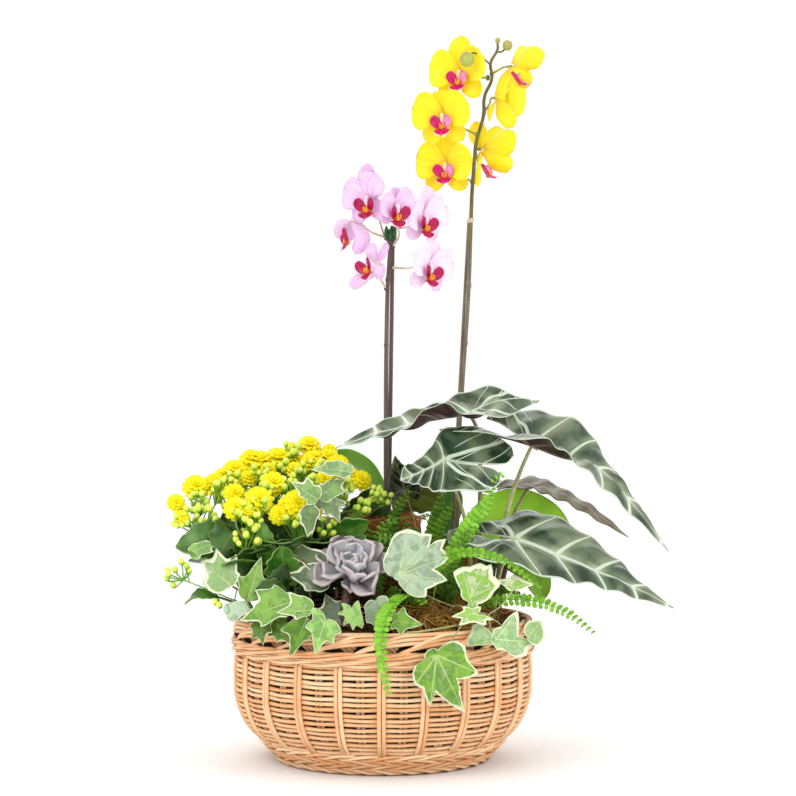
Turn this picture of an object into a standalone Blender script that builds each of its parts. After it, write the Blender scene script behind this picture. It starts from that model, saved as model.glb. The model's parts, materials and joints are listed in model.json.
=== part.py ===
"""Potted moth orchid arrangement.

Two moth orchids on stakes, an alocasia, a kalanchoe, ivy, a button fern and an echeveria, planted
together in a round wicker basket with a waterproof liner.

Units are metres and +Z is up. The origin is the middle of the basket's underside, on the surface that
it stands on. -Y is the front, the side that most flowers look to. Plan points are in millimetres.
"""
import math

import bmesh
import bpy
from mathutils import Matrix, Vector

MM = 0.001
GAP = 0.3  # clearance between touching pieces, mm

# Basket: heights and radii in mm
STAKE_PAIRS = 22
WALL = ((20, 122), (33, 136), (47, 144), (66, 149.5), (96, 149.5), (108, 148.5))  # height, outer radius
STAKE_DEPTH = 3.2
STAKE_HALF_WIDTH = 4.0
WEAVE_INSET = 4.0  # from the stakes' outside to the weave's outside
WEAVE_DEPTH = 5.0
BASE_RADIUS = 98.5
BASE_DEPTH = 7.0
FOOT_TOP = 20.0
RIM_TOP = 120.0
BORDER_TOP = 142.0
FOOT_INNER, FOOT_OUTER = 107.5, 115.5
FOOT_LEAN = 5.5  # how far the foot ring's top stands out from its middle
RIM_INNER, RIM_OUTER = 143.5, 151.5
BORDER_INNER, BORDER_OUTER = 139.5, 149.8
WALE_RIDGE = 0.8  # depth of the ridges that strands make on a ring
BORDER_RIDGE = 1.2
RING_SIDES = 8

# Liner and fill
LINER_INSET = 9.8  # from the stakes' outside to the liner's outside
LINER_DEPTH = 1.2
LINER_TOP = 125.0
LINER_CORNER = 14.0  # width of the slanting corner between the liner's floor and wall
SOIL_DOME = ((0, 168), (40, 166), (75, 159), (105, 147), (126, 131))  # radius, height
FILL_STEPS = 24
ROOT_BALLS = {
    "pink_orchid_root_ball": ((0, 28), 36, 238),
    "yellow_orchid_root_ball": ((72, 64), 34, 200),
}  # centre, radius, top height
ROOT_BALL_BOTTOM = 130.0
SOCKET_DEPTH = 14.0
SOCKET_SLACK = 1.0

# Plants
PINK_FLOWER = 27.0  # radius over the petals
YELLOW_FLOWER = 30.0
SPIKE_RADIUS = 2.4
STAKE_RADIUS = 1.9
PEDICEL_RADIUS = 1.3
PETIOLE_RADIUS = 2.6
SHEATH = 8.0  # height of an orchid leaf's sheath over its root ball
VINE_RADIUS = 1.2
THIN = 1.4  # stems up to this radius have four sides
BLADE = 1.0  # leaf blade thickness
PLATE = 0.8  # ivy leaf and petal thickness


# ---------------------------------------------------------------- materials and collections

def collection(name):
    made = bpy.data.collections.new(name)
    bpy.context.scene.collection.children.link(made)
    return made


def material(name, colour, roughness):
    made = bpy.data.materials.new(name)
    made.use_nodes = True
    shader = made.node_tree.nodes["Principled BSDF"]
    shader.inputs["Base Color"].default_value = (*colour, 1.0)
    shader.inputs["Roughness"].default_value = roughness
    shader.inputs["Metallic"].default_value = 0.0
    made.diffuse_color = (*colour, 1.0)
    return made


# ---------------------------------------------------------------- objects and solids

def part(name, mesh, finish):
    """A named part with its material, in the arrangement's collection."""
    made = bpy.data.objects.new(name, mesh)
    mesh.materials.clear()
    mesh.materials.append(finish)
    PARTS.objects.link(made)
    return made


def helper(mesh):
    """A cutter, drawn as a wire and left out of the build."""
    made = bpy.data.objects.new("cutter", mesh)
    made.hide_render = True
    made.display_type = 'WIRE'
    CUTTERS.objects.link(made)
    return made


def finished_mesh(thing):
    """The evaluated mesh of an object in world space, welded. The object is removed."""
    bpy.context.view_layer.update()
    graph = bpy.context.evaluated_depsgraph_get()
    mesh = bpy.data.meshes.new_from_object(thing.evaluated_get(graph))
    mesh.transform(thing.matrix_world)
    bpy.data.objects.remove(thing)
    shape = bmesh.new()
    shape.from_mesh(mesh)
    bmesh.ops.remove_doubles(shape, verts=shape.verts, dist=0.001 * MM)
    shape.to_mesh(mesh)
    shape.free()
    return mesh


def boolean(thing, tool, operation):
    modifier = thing.modifiers.new(operation.lower(), 'BOOLEAN')
    modifier.operation = operation
    modifier.solver = 'EXACT'
    modifier.use_self = operation == 'UNION'
    modifier.object = tool


def grown_together(name, meshes, finish):
    """One solid from overlapping ones, as a plant's stem and blades are."""
    first = helper(meshes[0])
    others = [helper(mesh) for mesh in meshes[1:]]
    for other in others:
        boolean(first, other, 'UNION')
    mesh = finished_mesh(first)
    for other in others:
        bpy.data.objects.remove(other)
    return part(name, mesh, finish)


def mesh_from(shape, name):
    """A mesh from a bmesh whose measures are millimetres."""
    bmesh.ops.scale(shape, vec=(MM, MM, MM), verts=shape.verts)
    mesh = bpy.data.meshes.new(name)
    shape.to_mesh(mesh)
    shape.free()
    return mesh


def thickened(mesh, depth):
    """A closed plate of the given depth in mm from an open surface."""
    sheet = helper(mesh)
    solidify = sheet.modifiers.new("depth", 'SOLIDIFY')
    solidify.thickness = depth * MM
    solidify.offset = 0.0
    solidify.use_even_offset = False
    return finished_mesh(sheet)


# ---------------------------------------------------------------- curves

def smooth_path(points, steps=4):
    """Points on a smooth curve through the given ones, a cubic between each two."""
    nodes = [Vector(point) for point in points]
    before, after = [nodes[0]] + nodes[:-1], nodes[1:] + [nodes[-1]]
    headings = [(later - earlier).normalized() for earlier, later in zip(before, after)]
    path = []
    for number, (start, end) in enumerate(zip(nodes, nodes[1:])):
        reach = (end - start).length
        for step in range(steps):
            t = step / steps
            path.append(start * (1 + 2 * t) * (1 - t) ** 2 + end * t * t * (3 - 2 * t)
                        + headings[number] * reach * t * (1 - t) ** 2
                        - headings[number + 1] * reach * t * t * (1 - t))
    path.append(nodes[-1])
    return path


def stem_mesh(points, radius, end_radius=None, steps=3, foot=()):
    """A stem of six sides, or of four when thin, up from its foot and on along a smooth path."""
    path = [Vector(point) for point in foot] + smooth_path(points, steps)
    end_radius = radius if end_radius is None else end_radius
    curve = bpy.data.curves.new("stem", 'CURVE')
    curve.dimensions = '3D'
    curve.bevel_depth = radius * MM
    curve.bevel_resolution = 1 if radius > THIN else 0
    curve.use_fill_caps = True
    spline = curve.splines.new('POLY')
    spline.points.add(len(path) - 1)
    for number, (point, place) in enumerate(zip(spline.points, path)):
        point.co = (*(place * MM), 1.0)
        along = number / (len(path) - 1)
        point.radius = 1 + (end_radius / radius - 1) * along
    thing = bpy.data.objects.new("stem", curve)
    CUTTERS.objects.link(thing)
    return finished_mesh(thing)


class Midrib:
    """A leaf's smooth midrib, with the direction that its blade spreads in from base to tip."""

    def __init__(self, points, across, across_tip=None):
        self.path = smooth_path(points, 8)
        self.across = Vector(across)
        self.across_tip = Vector(across_tip or across)
        self.lengths = [0.0]
        for a, b in zip(self.path, self.path[1:]):
            self.lengths.append(self.lengths[-1] + (b - a).length)
        self.length = self.lengths[-1]

    def frame(self, u):
        """The place, sideways direction and normal at the fraction u, straight beyond the ends."""
        distance = u * self.length
        number = 0
        while number < len(self.path) - 2 and self.lengths[number + 1] < distance:
            number += 1
        a, b = self.path[number], self.path[number + 1]
        along = (b - a).normalized()
        place = a + along * (distance - self.lengths[number])
        side = self.across.lerp(self.across_tip, min(max(u, 0.0), 1.0))
        side = (side - along * side.dot(along)).normalized()
        return place, side, along.cross(side)

    def point(self, u, w, fold):
        """The place at the fraction u, w to the side, both in blade lengths; fold lifts the sides."""
        place, side, normal = self.frame(u)
        return place + side * (w * self.length) + normal * (abs(w) * self.length * fold)


# ---------------------------------------------------------------- leaves and flowers

# Each row: inner edge u, w and outer edge u, w of a half blade, in lengths from the stalk to the tip
ARROW_BLADE = (
    (-0.36, 0.130, -0.35, 0.170), (-0.24, 0.085, -0.22, 0.250), (-0.10, 0.035, -0.07, 0.285),
    (0.00, 0.0, 0.06, 0.285), (0.16, 0.0, 0.22, 0.262), (0.34, 0.0, 0.39, 0.225),
    (0.54, 0.0, 0.57, 0.170), (0.76, 0.0, 0.78, 0.090), (1.00, 0.0, 1.00, 0.006),
)
STRAP_BLADE = tuple((u, 0.0, u, w) for u, w in (
    (0.00, 0.055), (0.12, 0.120), (0.30, 0.175), (0.52, 0.200), (0.74, 0.180), (0.90, 0.115), (1.00, 0.020)))
ROUND_BLADE = tuple((u, 0.0, u, w) for u, w in (
    (0.00, 0.050), (0.18, 0.170), (0.42, 0.310), (0.66, 0.350), (0.86, 0.260), (1.00, 0.060)))


def blade_mesh(midrib, rows, fold, depth):
    """A leaf blade of two halves that meet on the midrib."""
    shape = bmesh.new()
    for side in (-1, 1):
        grid = bmesh.new()
        bmesh.ops.create_grid(grid, x_segments=1, y_segments=len(rows) - 1, size=1.0)
        for vert in grid.verts:
            row = rows[round((vert.co.y + 1) / 2 * (len(rows) - 1))]
            u, w = row[:2] if vert.co.x < 0 else row[2:]
            vert.co = midrib.point(u, side * w, fold)
        half = bpy.data.meshes.new("half")
        grid.to_mesh(half)
        grid.free()
        shape.from_mesh(half)
        bpy.data.meshes.remove(half)
    bmesh.ops.remove_doubles(shape, verts=shape.verts, dist=0.01)
    bmesh.ops.recalc_face_normals(shape, faces=shape.faces)
    return thickened(mesh_from(shape, "blade"), depth)


# Half outline of an ivy leaf: degrees from the middle lobe, and reach in leaf lengths
IVY_LOBES = ((0, 1.00), (25, 0.52), (50, 0.80), (80, 0.44), (115, 0.56), (155, 0.30), (180, 0.10))


def fan_mesh(reaches, bend, matrix, depth):
    """A plate whose rim lies at (angle, reach) about its middle; bend drops the rim."""
    shape = bmesh.new()
    bmesh.ops.create_circle(shape, cap_ends=True, cap_tris=True, segments=len(reaches), radius=1.0)
    rim = [vert for vert in shape.verts if vert.co.length > 0.5]
    rim.sort(key=lambda vert: math.atan2(vert.co.y, vert.co.x) % math.tau)
    for vert, (angle, reach) in zip(rim, reaches):
        turn = math.radians(angle)
        vert.co = (reach * math.cos(turn), reach * math.sin(turn), -bend * reach)
    bmesh.ops.recalc_face_normals(shape, faces=shape.faces)
    bmesh.ops.transform(shape, matrix=matrix, verts=shape.verts)
    return thickened(mesh_from(shape, "plate"), depth)


def ivy_leaf_mesh(junction, tip, facing):
    """An ivy leaf from its stalk's end to its tip, facing the given way."""
    junction, tip = Vector(junction), Vector(tip)
    along = (tip - junction).normalized()
    normal = Vector(facing)
    normal = (normal - along * normal.dot(along)).normalized()
    turn = Matrix((along, normal.cross(along), normal)).transposed().to_4x4()
    size = (tip - junction).length
    matrix = Matrix.Translation(junction) @ turn @ Matrix.Scale(size, 4)
    left = [(360 - angle, reach) for angle, reach in reversed(IVY_LOBES[1:-1])]
    return fan_mesh(list(IVY_LOBES) + left, 0.08, matrix, PLATE)


def ivy_sprig(name, foot, vine, leaves):
    """A vine with its leaves, each on a stalk from the nearest point of the vine."""
    solids = [stem_mesh(vine, VINE_RADIUS, VINE_RADIUS * 0.8, 3, foot)]
    nodes = smooth_path(vine, 3)
    for junction, tip, facing in leaves:
        solids.append(ivy_leaf_mesh(junction, tip, facing))
        start = min(nodes, key=lambda node: (node - Vector(junction)).length)
        inside = Vector(junction).lerp(Vector(tip), 0.06)
        if (start - inside).length > 2 * VINE_RADIUS:
            solids.append(stem_mesh((start, inside), 0.9, 0.8, 1))
    grown_together(name, solids, IVY)


# Each row: tepal's angle in degrees, reach and half width in flower radii
TEPALS = ((90, 0.98, 0.30), (12, 1.00, 0.46), (168, 1.00, 0.46), (232, 0.94, 0.28), (308, 0.94, 0.28))
FLOWER_RIM = 24


def tepal_reach(angle):
    """How far the flower's outline reaches at an angle: the furthest of its five ellipses."""
    furthest = 0.16
    for middle, length, half_width in TEPALS:
        offset = math.radians(angle - middle)
        if math.cos(offset) > 0:
            a, b = length / 2, half_width
            reach = 2 * a * b * b * math.cos(offset)
            reach /= (b * math.cos(offset)) ** 2 + (a * math.sin(offset)) ** 2
            furthest = max(furthest, reach)
    return furthest


def flower_mesh(radius, petal):
    """A moth orchid flower that looks to -Y, with its lip below the middle."""
    angles = [360 * step / FLOWER_RIM for step in range(FLOWER_RIM)]
    upright = Matrix.Rotation(math.pi / 2, 4, 'X') @ Matrix.Scale(radius, 4)
    petals = fan_mesh([(angle, tepal_reach(angle)) for angle in angles], 0.06, upright, 1.2)
    shape = bmesh.new()
    bmesh.ops.create_uvsphere(shape, u_segments=6, v_segments=4, radius=1.0)
    bmesh.ops.scale(shape, vec=(0.20 * radius, 0.26 * radius, 0.17 * radius), verts=shape.verts)
    bmesh.ops.translate(shape, vec=(0.0, -0.22 * radius, -0.20 * radius), verts=shape.verts)
    lip = mesh_from(shape, "lip")
    return finished_mesh(grown_together("flower", [petals, lip], petal))


# ---------------------------------------------------------------- basket

def wall_radius(height):
    """The radius of the basket's outside at a height, straight between the given ones."""
    for (low, inner), (high, outer) in zip(WALL, WALL[1:]):
        if height <= high:
            return inner + (outer - inner) * (height - low) / (high - low)
    return WALL[-1][1]


def inset_wall(inset, trim=0.0):
    """Radius and height down the wall's outside, moved inwards by a distance square to the wall."""
    profile = []
    for number, (height, radius) in enumerate(WALL):
        low, inner = WALL[max(number - 1, 0)]
        high, outer = WALL[min(number + 1, len(WALL) - 1)]
        slant = math.hypot(1.0, (outer - inner) / (high - low))
        profile.append((radius - inset * slant, height))
    profile[0] = (profile[0][0], profile[0][1] + trim)
    profile[-1] = (profile[-1][0], profile[-1][1] - trim)
    return profile[::-1]


def turned(name, profile, finish, steps=2 * STAKE_PAIRS, closed=0):
    """A part turned about the Z axis from a profile with its solid on the right of its run."""
    shape = bmesh.new()
    verts = [shape.verts.new((radius * MM, 0.0, height * MM)) for radius, height in profile]
    for upper, lower in zip(verts, verts[1:] + verts[:closed]):
        shape.edges.new((upper, lower))
    mesh = bpy.data.meshes.new(name)
    shape.to_mesh(mesh)
    shape.free()
    made = part(name, mesh, finish)
    screw = made.modifiers.new("turn", 'SCREW')
    screw.axis = 'Z'
    screw.steps = steps
    screw.render_steps = steps
    screw.use_merge_vertices = True
    screw.merge_threshold = 0.01 * MM
    return made


def wicker_ring(name, bottom, top, inner, outer, lean, ridge):
    """A ring of coiled strands, with slanting ridges on its outside."""
    bpy.ops.mesh.primitive_torus_add(major_segments=2 * STAKE_PAIRS, minor_segments=RING_SIDES,
                                     major_radius=1.0, minor_radius=0.5)
    mesh = bpy.context.object.data
    bpy.data.objects.remove(bpy.context.object)
    middle, half_width = (inner + outer) / 2, (outer - inner) / 2
    half_height = (top - bottom) / 2
    flat = math.cos(math.pi / RING_SIDES)
    for vert in mesh.vertices:
        angle = math.atan2(vert.co.y, vert.co.x)
        section = math.atan2(vert.co.z, math.hypot(vert.co.x, vert.co.y) - 1.0) + math.pi / RING_SIDES
        rise = math.sin(section) / flat
        radius = middle + half_width * math.cos(section) / flat + lean * rise
        if math.cos(section) > 0:
            radius += ridge * math.cos(STAKE_PAIRS * angle + math.pi * rise)
        vert.co = (radius * math.cos(angle) * MM, radius * math.sin(angle) * MM,
                   ((bottom + top) / 2 + half_height * rise) * MM)
    return part(name, mesh, WICKER)


def stake_cage():
    """The pairs of upright stakes, held together by one round strand above and one below."""
    pitch = math.tau / STAKE_PAIRS
    low, high = FOOT_TOP + GAP, WALL[-1][0] - GAP
    heights = (low, low + 2.5, 33, 47, 66, 96, high - 2.5, high)
    columns = 3 * STAKE_PAIRS
    shape = bmesh.new()
    bmesh.ops.create_grid(shape, x_segments=columns, y_segments=len(heights) - 1, size=1.0)
    gaps = []
    for face in shape.faces:
        middle = face.calc_center_median()
        column = int((middle.x + 1) / 2 * columns)
        row = int((middle.y + 1) / 2 * (len(heights) - 1))
        if column % 3 and 0 < row < len(heights) - 2:
            gaps.append(face)
    for vert in shape.verts:
        column = round((vert.co.x + 1) / 2 * columns)
        height = heights[round((vert.co.y + 1) / 2 * (len(heights) - 1))]
        half = STAKE_HALF_WIDTH / wall_radius(height)
        angle = pitch * (column // 3) + (-half, half, pitch / 2)[column % 3] - math.pi / 2
        radius = wall_radius(height)
        vert.co = (radius * math.cos(angle), radius * math.sin(angle), height)
    bmesh.ops.delete(shape, geom=gaps, context='FACES')
    bmesh.ops.remove_doubles(shape, verts=shape.verts, dist=0.01)
    made = part("basket_stakes", mesh_from(shape, "basket_stakes"), WICKER)
    solidify = made.modifiers.new("depth", 'SOLIDIFY')
    solidify.thickness = STAKE_DEPTH * MM
    solidify.offset = -1.0
    solidify.use_even_offset = True


def basket():
    turned("basket_base", ((0, BASE_DEPTH), (BASE_RADIUS, BASE_DEPTH), (BASE_RADIUS, 0), (0, 0)), WICKER)
    wicker_ring("basket_foot_wale", 0.0, FOOT_TOP, FOOT_INNER, FOOT_OUTER, FOOT_LEAN, WALE_RIDGE)
    stake_cage()
    outside, inside = inset_wall(WEAVE_INSET, GAP), inset_wall(WEAVE_INSET + WEAVE_DEPTH, GAP)
    turned("basket_weave", outside + inside[::-1], WICKER, closed=1)
    wicker_ring("basket_rim_wale", WALL[-1][0] + GAP, RIM_TOP, RIM_INNER, RIM_OUTER, 0.0, WALE_RIDGE)
    wicker_ring("basket_border", RIM_TOP + GAP, BORDER_TOP, BORDER_INNER, BORDER_OUTER, 0.0, BORDER_RIDGE)


def liner_and_fill():
    bottom = BASE_DEPTH + GAP
    outside = inset_wall(LINER_INSET)
    inside = inset_wall(LINER_INSET + LINER_DEPTH)
    foot = outside[-1][0] - LINER_CORNER
    well = [(0, bottom + LINER_DEPTH), (foot - LINER_DEPTH, bottom + LINER_DEPTH)] + inside[::-1]
    lip = [(inside[0][0], LINER_TOP), (outside[0][0], LINER_TOP)]
    turned("basket_liner", well + lip + outside + [(foot, bottom), (0, bottom)], LINER, FILL_STEPS)

    edge = inset_wall(LINER_INSET + LINER_DEPTH + GAP)
    height = bottom + LINER_DEPTH + GAP
    below = [(foot - 2 * LINER_DEPTH, height), (0, height)]
    soil = turned("potting_soil", list(SOIL_DOME) + edge + below, SOIL, FILL_STEPS)
    bodies = [soil]
    for name, ((x, y), radius, top) in ROOT_BALLS.items():
        profile = ((0, top), (radius * 0.8, top - 3), (radius, top - 14), (radius * 0.94, ROOT_BALL_BOTTOM),
                   (0, ROOT_BALL_BOTTOM))
        ball = turned(name, profile, ROOTS, 20)
        ball.location = (x * MM, y * MM, 0.0)
        pit = cylinder(x, y, radius + 2 * GAP, ROOT_BALL_BOTTOM - GAP, top + 5, 20)
        boolean(soil, helper(pit), 'DIFFERENCE')
        bodies.append(ball)
    return bodies


def cylinder(x, y, radius, bottom, top, sides=8):
    shape = bmesh.new()
    bmesh.ops.create_cone(shape, cap_ends=True, segments=sides, radius1=radius, radius2=radius,
                          depth=top - bottom)
    bmesh.ops.translate(shape, vec=(x, y, (top + bottom) / 2), verts=shape.verts)
    return mesh_from(shape, "cylinder")


def soil_height(x, y):
    """The height of the soil's dome over a plan point."""
    reach = math.hypot(x, y)
    for (inner, high), (outer, low) in zip(SOIL_DOME, SOIL_DOME[1:]):
        if reach <= outer:
            return high + (low - high) * (reach - inner) / (outer - inner)
    return SOIL_DOME[-1][1]


def rooted(x, y, radius, ground):
    """The foot of a stem in its own socket, and the point where it leaves the ground."""
    height = ground["top"] or soil_height(x, y)
    bottom = height - SOCKET_DEPTH
    ground["sockets"].append(cylinder(x, y, radius * 1.3 + SOCKET_SLACK, bottom - GAP, height + 8, 6))
    return [(x, y, bottom)], (x, y, height + 2)


def cut_sockets(thing, ground):
    """All sockets of a piece of ground, cut at once."""
    shape = bmesh.new()
    for mesh in ground["sockets"]:
        shape.from_mesh(mesh)
    mesh = bpy.data.meshes.new("sockets")
    shape.to_mesh(mesh)
    shape.free()
    boolean(thing, helper(mesh), 'DIFFERENCE')


# ---------------------------------------------------------------- orchids

# Flower centre, turn to the right and nod in degrees, and the path of its stalk from the spike
PINK_FLOWERS = (
    ((-17, 0, 554), -15, 5, ((6, 16, 511), (-3, 13, 518))),
    ((17, -16, 545), 5, 0, ((9, 15, 530), (13, 4, 538))),
    ((49, 2, 538), 15, 5, ((9, 15, 529), (28, 14, 532))),
    ((54, -10, 486), 25, 5, ((4, 16, 488), (30, 8, 489))),
    ((-16, -15, 490), -45, 10, ((2, 16, 466), (-2, 6, 478))),
    ((-40, 6, 522), -80, 5, ((5, 16, 500), (-14, 12, 514))),
)
PINK_SPIKE = ((3, 16, 300), (2, 16, 380), (2, 16, 457), (5, 16, 498), (9, 15, 532))
PINK_STAKE = ((4, 25), (7, 25, 532))
CLIP_MIDDLE = (7.4, 20.4, 523.0)
CLIP_REACH = (5.6, 10.6, 14.0)
YELLOW_FLOWERS = (
    ((76, 36, 684), -15, 0, ((107, 57, 686), (92, 50, 686))),
    ((58, 20, 640), -15, 5, ((96, 60, 628), (76, 42, 636))),
    ((58, 36, 588), -10, 5, ((91, 61, 580), (74, 52, 586))),
    ((114, 62, 596), 105, 10, ((92, 61, 588), (102, 62, 594))),
    ((138, 62, 690), 95, 10, ((109, 57, 696), (124, 60, 694))),
    ((117, 68, 650), 135, 10, ((101, 59, 646), (108, 62, 648))),
)
YELLOW_SPIKE = ((77, 78, 300), (80, 76, 377), (85, 70, 468), (89, 64, 540), (91, 61, 580), (95, 60, 620),
                (104, 58, 664), (109, 57, 696), (117, 56, 714), (117, 56, 721))
YELLOW_STAKE = ((67, 84), (86, 80, 541))
YELLOW_BUDS = (((85, 46, 703), 7.5, (108, 57, 694)), ((127, 56, 719), 5.5, (116, 56, 712)))
ORCHID_LEAVES = {
    "pink_orchid_leaf_1": ((-10, 46), ((-16, 60, 262), (-36, 84, 292), (-66, 106, 300)), (0.2, -0.6, 0.9)),
    "pink_orchid_leaf_2": ((16, 48), ((22, 52, 256), (44, 48, 262), (64, 38, 240)), (0.1, 0.9, 0.3)),
    "yellow_orchid_leaf_1": ((92, 78), ((110, 92, 228), (146, 98, 238), (184, 94, 220), (203, 90, 194)),
                             (0.1, 0.3, 0.95)),
    "yellow_orchid_leaf_2": ((96, 50), ((120, 36, 196), (146, 24, 184), (160, 14, 158)), (0.2, 0.9, 0.5)),
    "yellow_orchid_leaf_3": ((54, 84), ((62, 96, 226), (78, 104, 262)), (1.0, 0.2, 0.1)),
}  # foot, midrib and spread


def flower_back(centre, turn, nod, radius):
    """A point just behind a flower, where its stalk ends."""
    look = Matrix.Rotation(math.radians(turn), 3, 'Z') @ Matrix.Rotation(math.radians(nod), 3, 'X')
    return Vector(centre) + look @ Vector((0, 0.045 * radius + 1.6, 0.0))


def orchid(colour, radius, flowers, spike, petal, ground):
    """One orchid's flowers and its spike with their stalks."""
    mesh = flower_mesh(radius, petal)
    foot, ground_point = rooted(spike[0][0], spike[0][1], SPIKE_RADIUS, ground)
    solids = [stem_mesh([ground_point, *spike], SPIKE_RADIUS, SPIKE_RADIUS * 0.6, 2, foot)]
    for number, (centre, turn, nod, stalk) in enumerate(flowers, 1):
        made = part(f"{colour}_flower_{number}", mesh, petal)
        made.location = Vector(centre) * MM
        made.rotation_euler = (math.radians(nod), 0.0, math.radians(turn))
        path = list(stalk) + [flower_back(centre, turn, nod, radius)]
        solids.append(stem_mesh(path, PEDICEL_RADIUS, PEDICEL_RADIUS, 3))
    return solids


def stake(name, ends, ground):
    """A straight support stake from its foot to its top."""
    (x, y), top = ends
    foot, ground_point = rooted(x, y, STAKE_RADIUS, ground)
    part(name, stem_mesh([ground_point, top], STAKE_RADIUS, None, 1, foot), STAKE)


def bud_mesh(centre, radius):
    shape = bmesh.new()
    bmesh.ops.create_uvsphere(shape, u_segments=8, v_segments=6, radius=radius)
    bmesh.ops.translate(shape, vec=centre, verts=shape.verts)
    return mesh_from(shape, "bud")


def orchids(pink_ground, yellow_ground):
    solids = orchid("pink", PINK_FLOWER, PINK_FLOWERS, PINK_SPIKE, PINK_PETAL, pink_ground)
    grown_together("pink_orchid_spike", solids, SPIKE)
    stake("pink_orchid_stake", PINK_STAKE, pink_ground)

    solids = orchid("yellow", YELLOW_FLOWER, YELLOW_FLOWERS, YELLOW_SPIKE, YELLOW_PETAL, yellow_ground)
    for centre, radius, start in YELLOW_BUDS:
        solids.append(bud_mesh(centre, radius))
        solids.append(stem_mesh((start, centre), PEDICEL_RADIUS, None, 1))
    grown_together("yellow_orchid_spike", solids, SPIKE)
    stake("yellow_orchid_stake", YELLOW_STAKE, yellow_ground)

    for name, ((x, y), points, across) in ORCHID_LEAVES.items():
        ground = pink_ground if name.startswith("pink") else yellow_ground
        foot, ground_point = rooted(x, y, 2.2, ground)
        midrib = Midrib([(x, y, ground["top"] + SHEATH), *points], across)
        blade = blade_mesh(midrib, STRAP_BLADE, 0.2, 2.4)
        sheath = stem_mesh([ground_point, midrib.point(0.08, 0.0, 0.0)], 2.2, None, 1, foot)
        grown_together(name, [blade, sheath], LEAF)


def spike_clip():
    """A clip round the pink spike and its stake: a flattened ring, its bow standing up and down."""
    bpy.ops.mesh.primitive_torus_add(major_segments=16, minor_segments=6, major_radius=1.0,
                                     minor_radius=0.22)
    mesh = bpy.context.object.data
    bpy.data.objects.remove(bpy.context.object)
    for vert in mesh.vertices:
        vert.co = [(middle + reach * place) * MM
                   for middle, reach, place in zip(CLIP_MIDDLE, CLIP_REACH, vert.co)]
    part("pink_orchid_clip", mesh, CLIP)


# ---------------------------------------------------------------- foliage

# Stalk's foot, the rest of the stalk, the midrib to the tip, and the blade's spread at base and tip
ALOCASIA = (
    ((93, 15), ((98, 24, 250), (98, 20, 318)), ((89, 4, 345), (47, -8, 340), (0, -26, 329), (-48, -46, 311)),
     (0.25, 0.85, 0.25), (0.1, 0.9, 0.1)),
    ((112, 2), ((122, 10, 240),), ((143, 18, 311), (187, 14, 306), (235, 2, 263), (285, -10, 207)),
     (0.3, 0.8, 0.25), (0.5, 0.7, 0.4)),
    ((90, -16), ((84, -34, 235),), ((70, -44, 296), (48, -80, 295), (18, -132, 284)),
     (0.3, 0.2, 0.9), (0.5, 0.2, 0.8)),
    ((108, -20), ((116, -34, 190),), ((130, -52, 222), (172, -64, 202), (226, -70, 178), (284, -72, 156)),
     (0.3, 0.75, 0.5), (0.3, 0.7, 0.6)),
    ((116, 52), ((128, 66, 215),), ((149, 84, 271), (180, 90, 268), (216, 90, 244), (253, 86, 214)),
     (0.1, 0.95, 0.1), (0.1, 0.9, 0.2)),
    ((42, -18), ((34, -10, 225),), ((21, -6, 256), (22, -10, 280), (11, -14, 302)),
     (0.9, 0.3, 0.1), (0.9, 0.3, 0.1)),
)

KALANCHOE_HEADS = (
    ((-124, -22), (-182, -20, 258), 25), ((-118, -2), (-148, 16, 270), 23), ((-104, 12), (-110, 44, 280), 24),
    ((-88, 24), (-68, 66, 290), 24), ((-74, 4), (-66, 18, 272), 22), ((-110, -36), (-134, -58, 244), 25),
    ((-86, -30), (-84, -52, 246), 24),
)  # foot, middle of the head, radius
KALANCHOE_LEAVES = (
    ((-112, -18), ((-140, -30, 190), (-172, -40, 198), (-204, -44, 203)), (0.1, 0.9, 0.5)),
    ((-92, -50), ((-96, -62, 182), (-104, -70, 200), (-108, -74, 222)), (0.9, 0.2, 0.1)),
)  # foot, midrib and spread

ECHEVERIA_FOOT = (-30, -84)
ECHEVERIA_MIDDLE = (-29, -88, 196)
ECHEVERIA_RADIUS = 37.0
ECHEVERIA_TIP = 55  # degrees that the rosette leans to the front
ECHEVERIA_STEM = 4.0
HEAD_HALF_HEIGHT = 15.0  # of a kalanchoe's flower head

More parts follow.
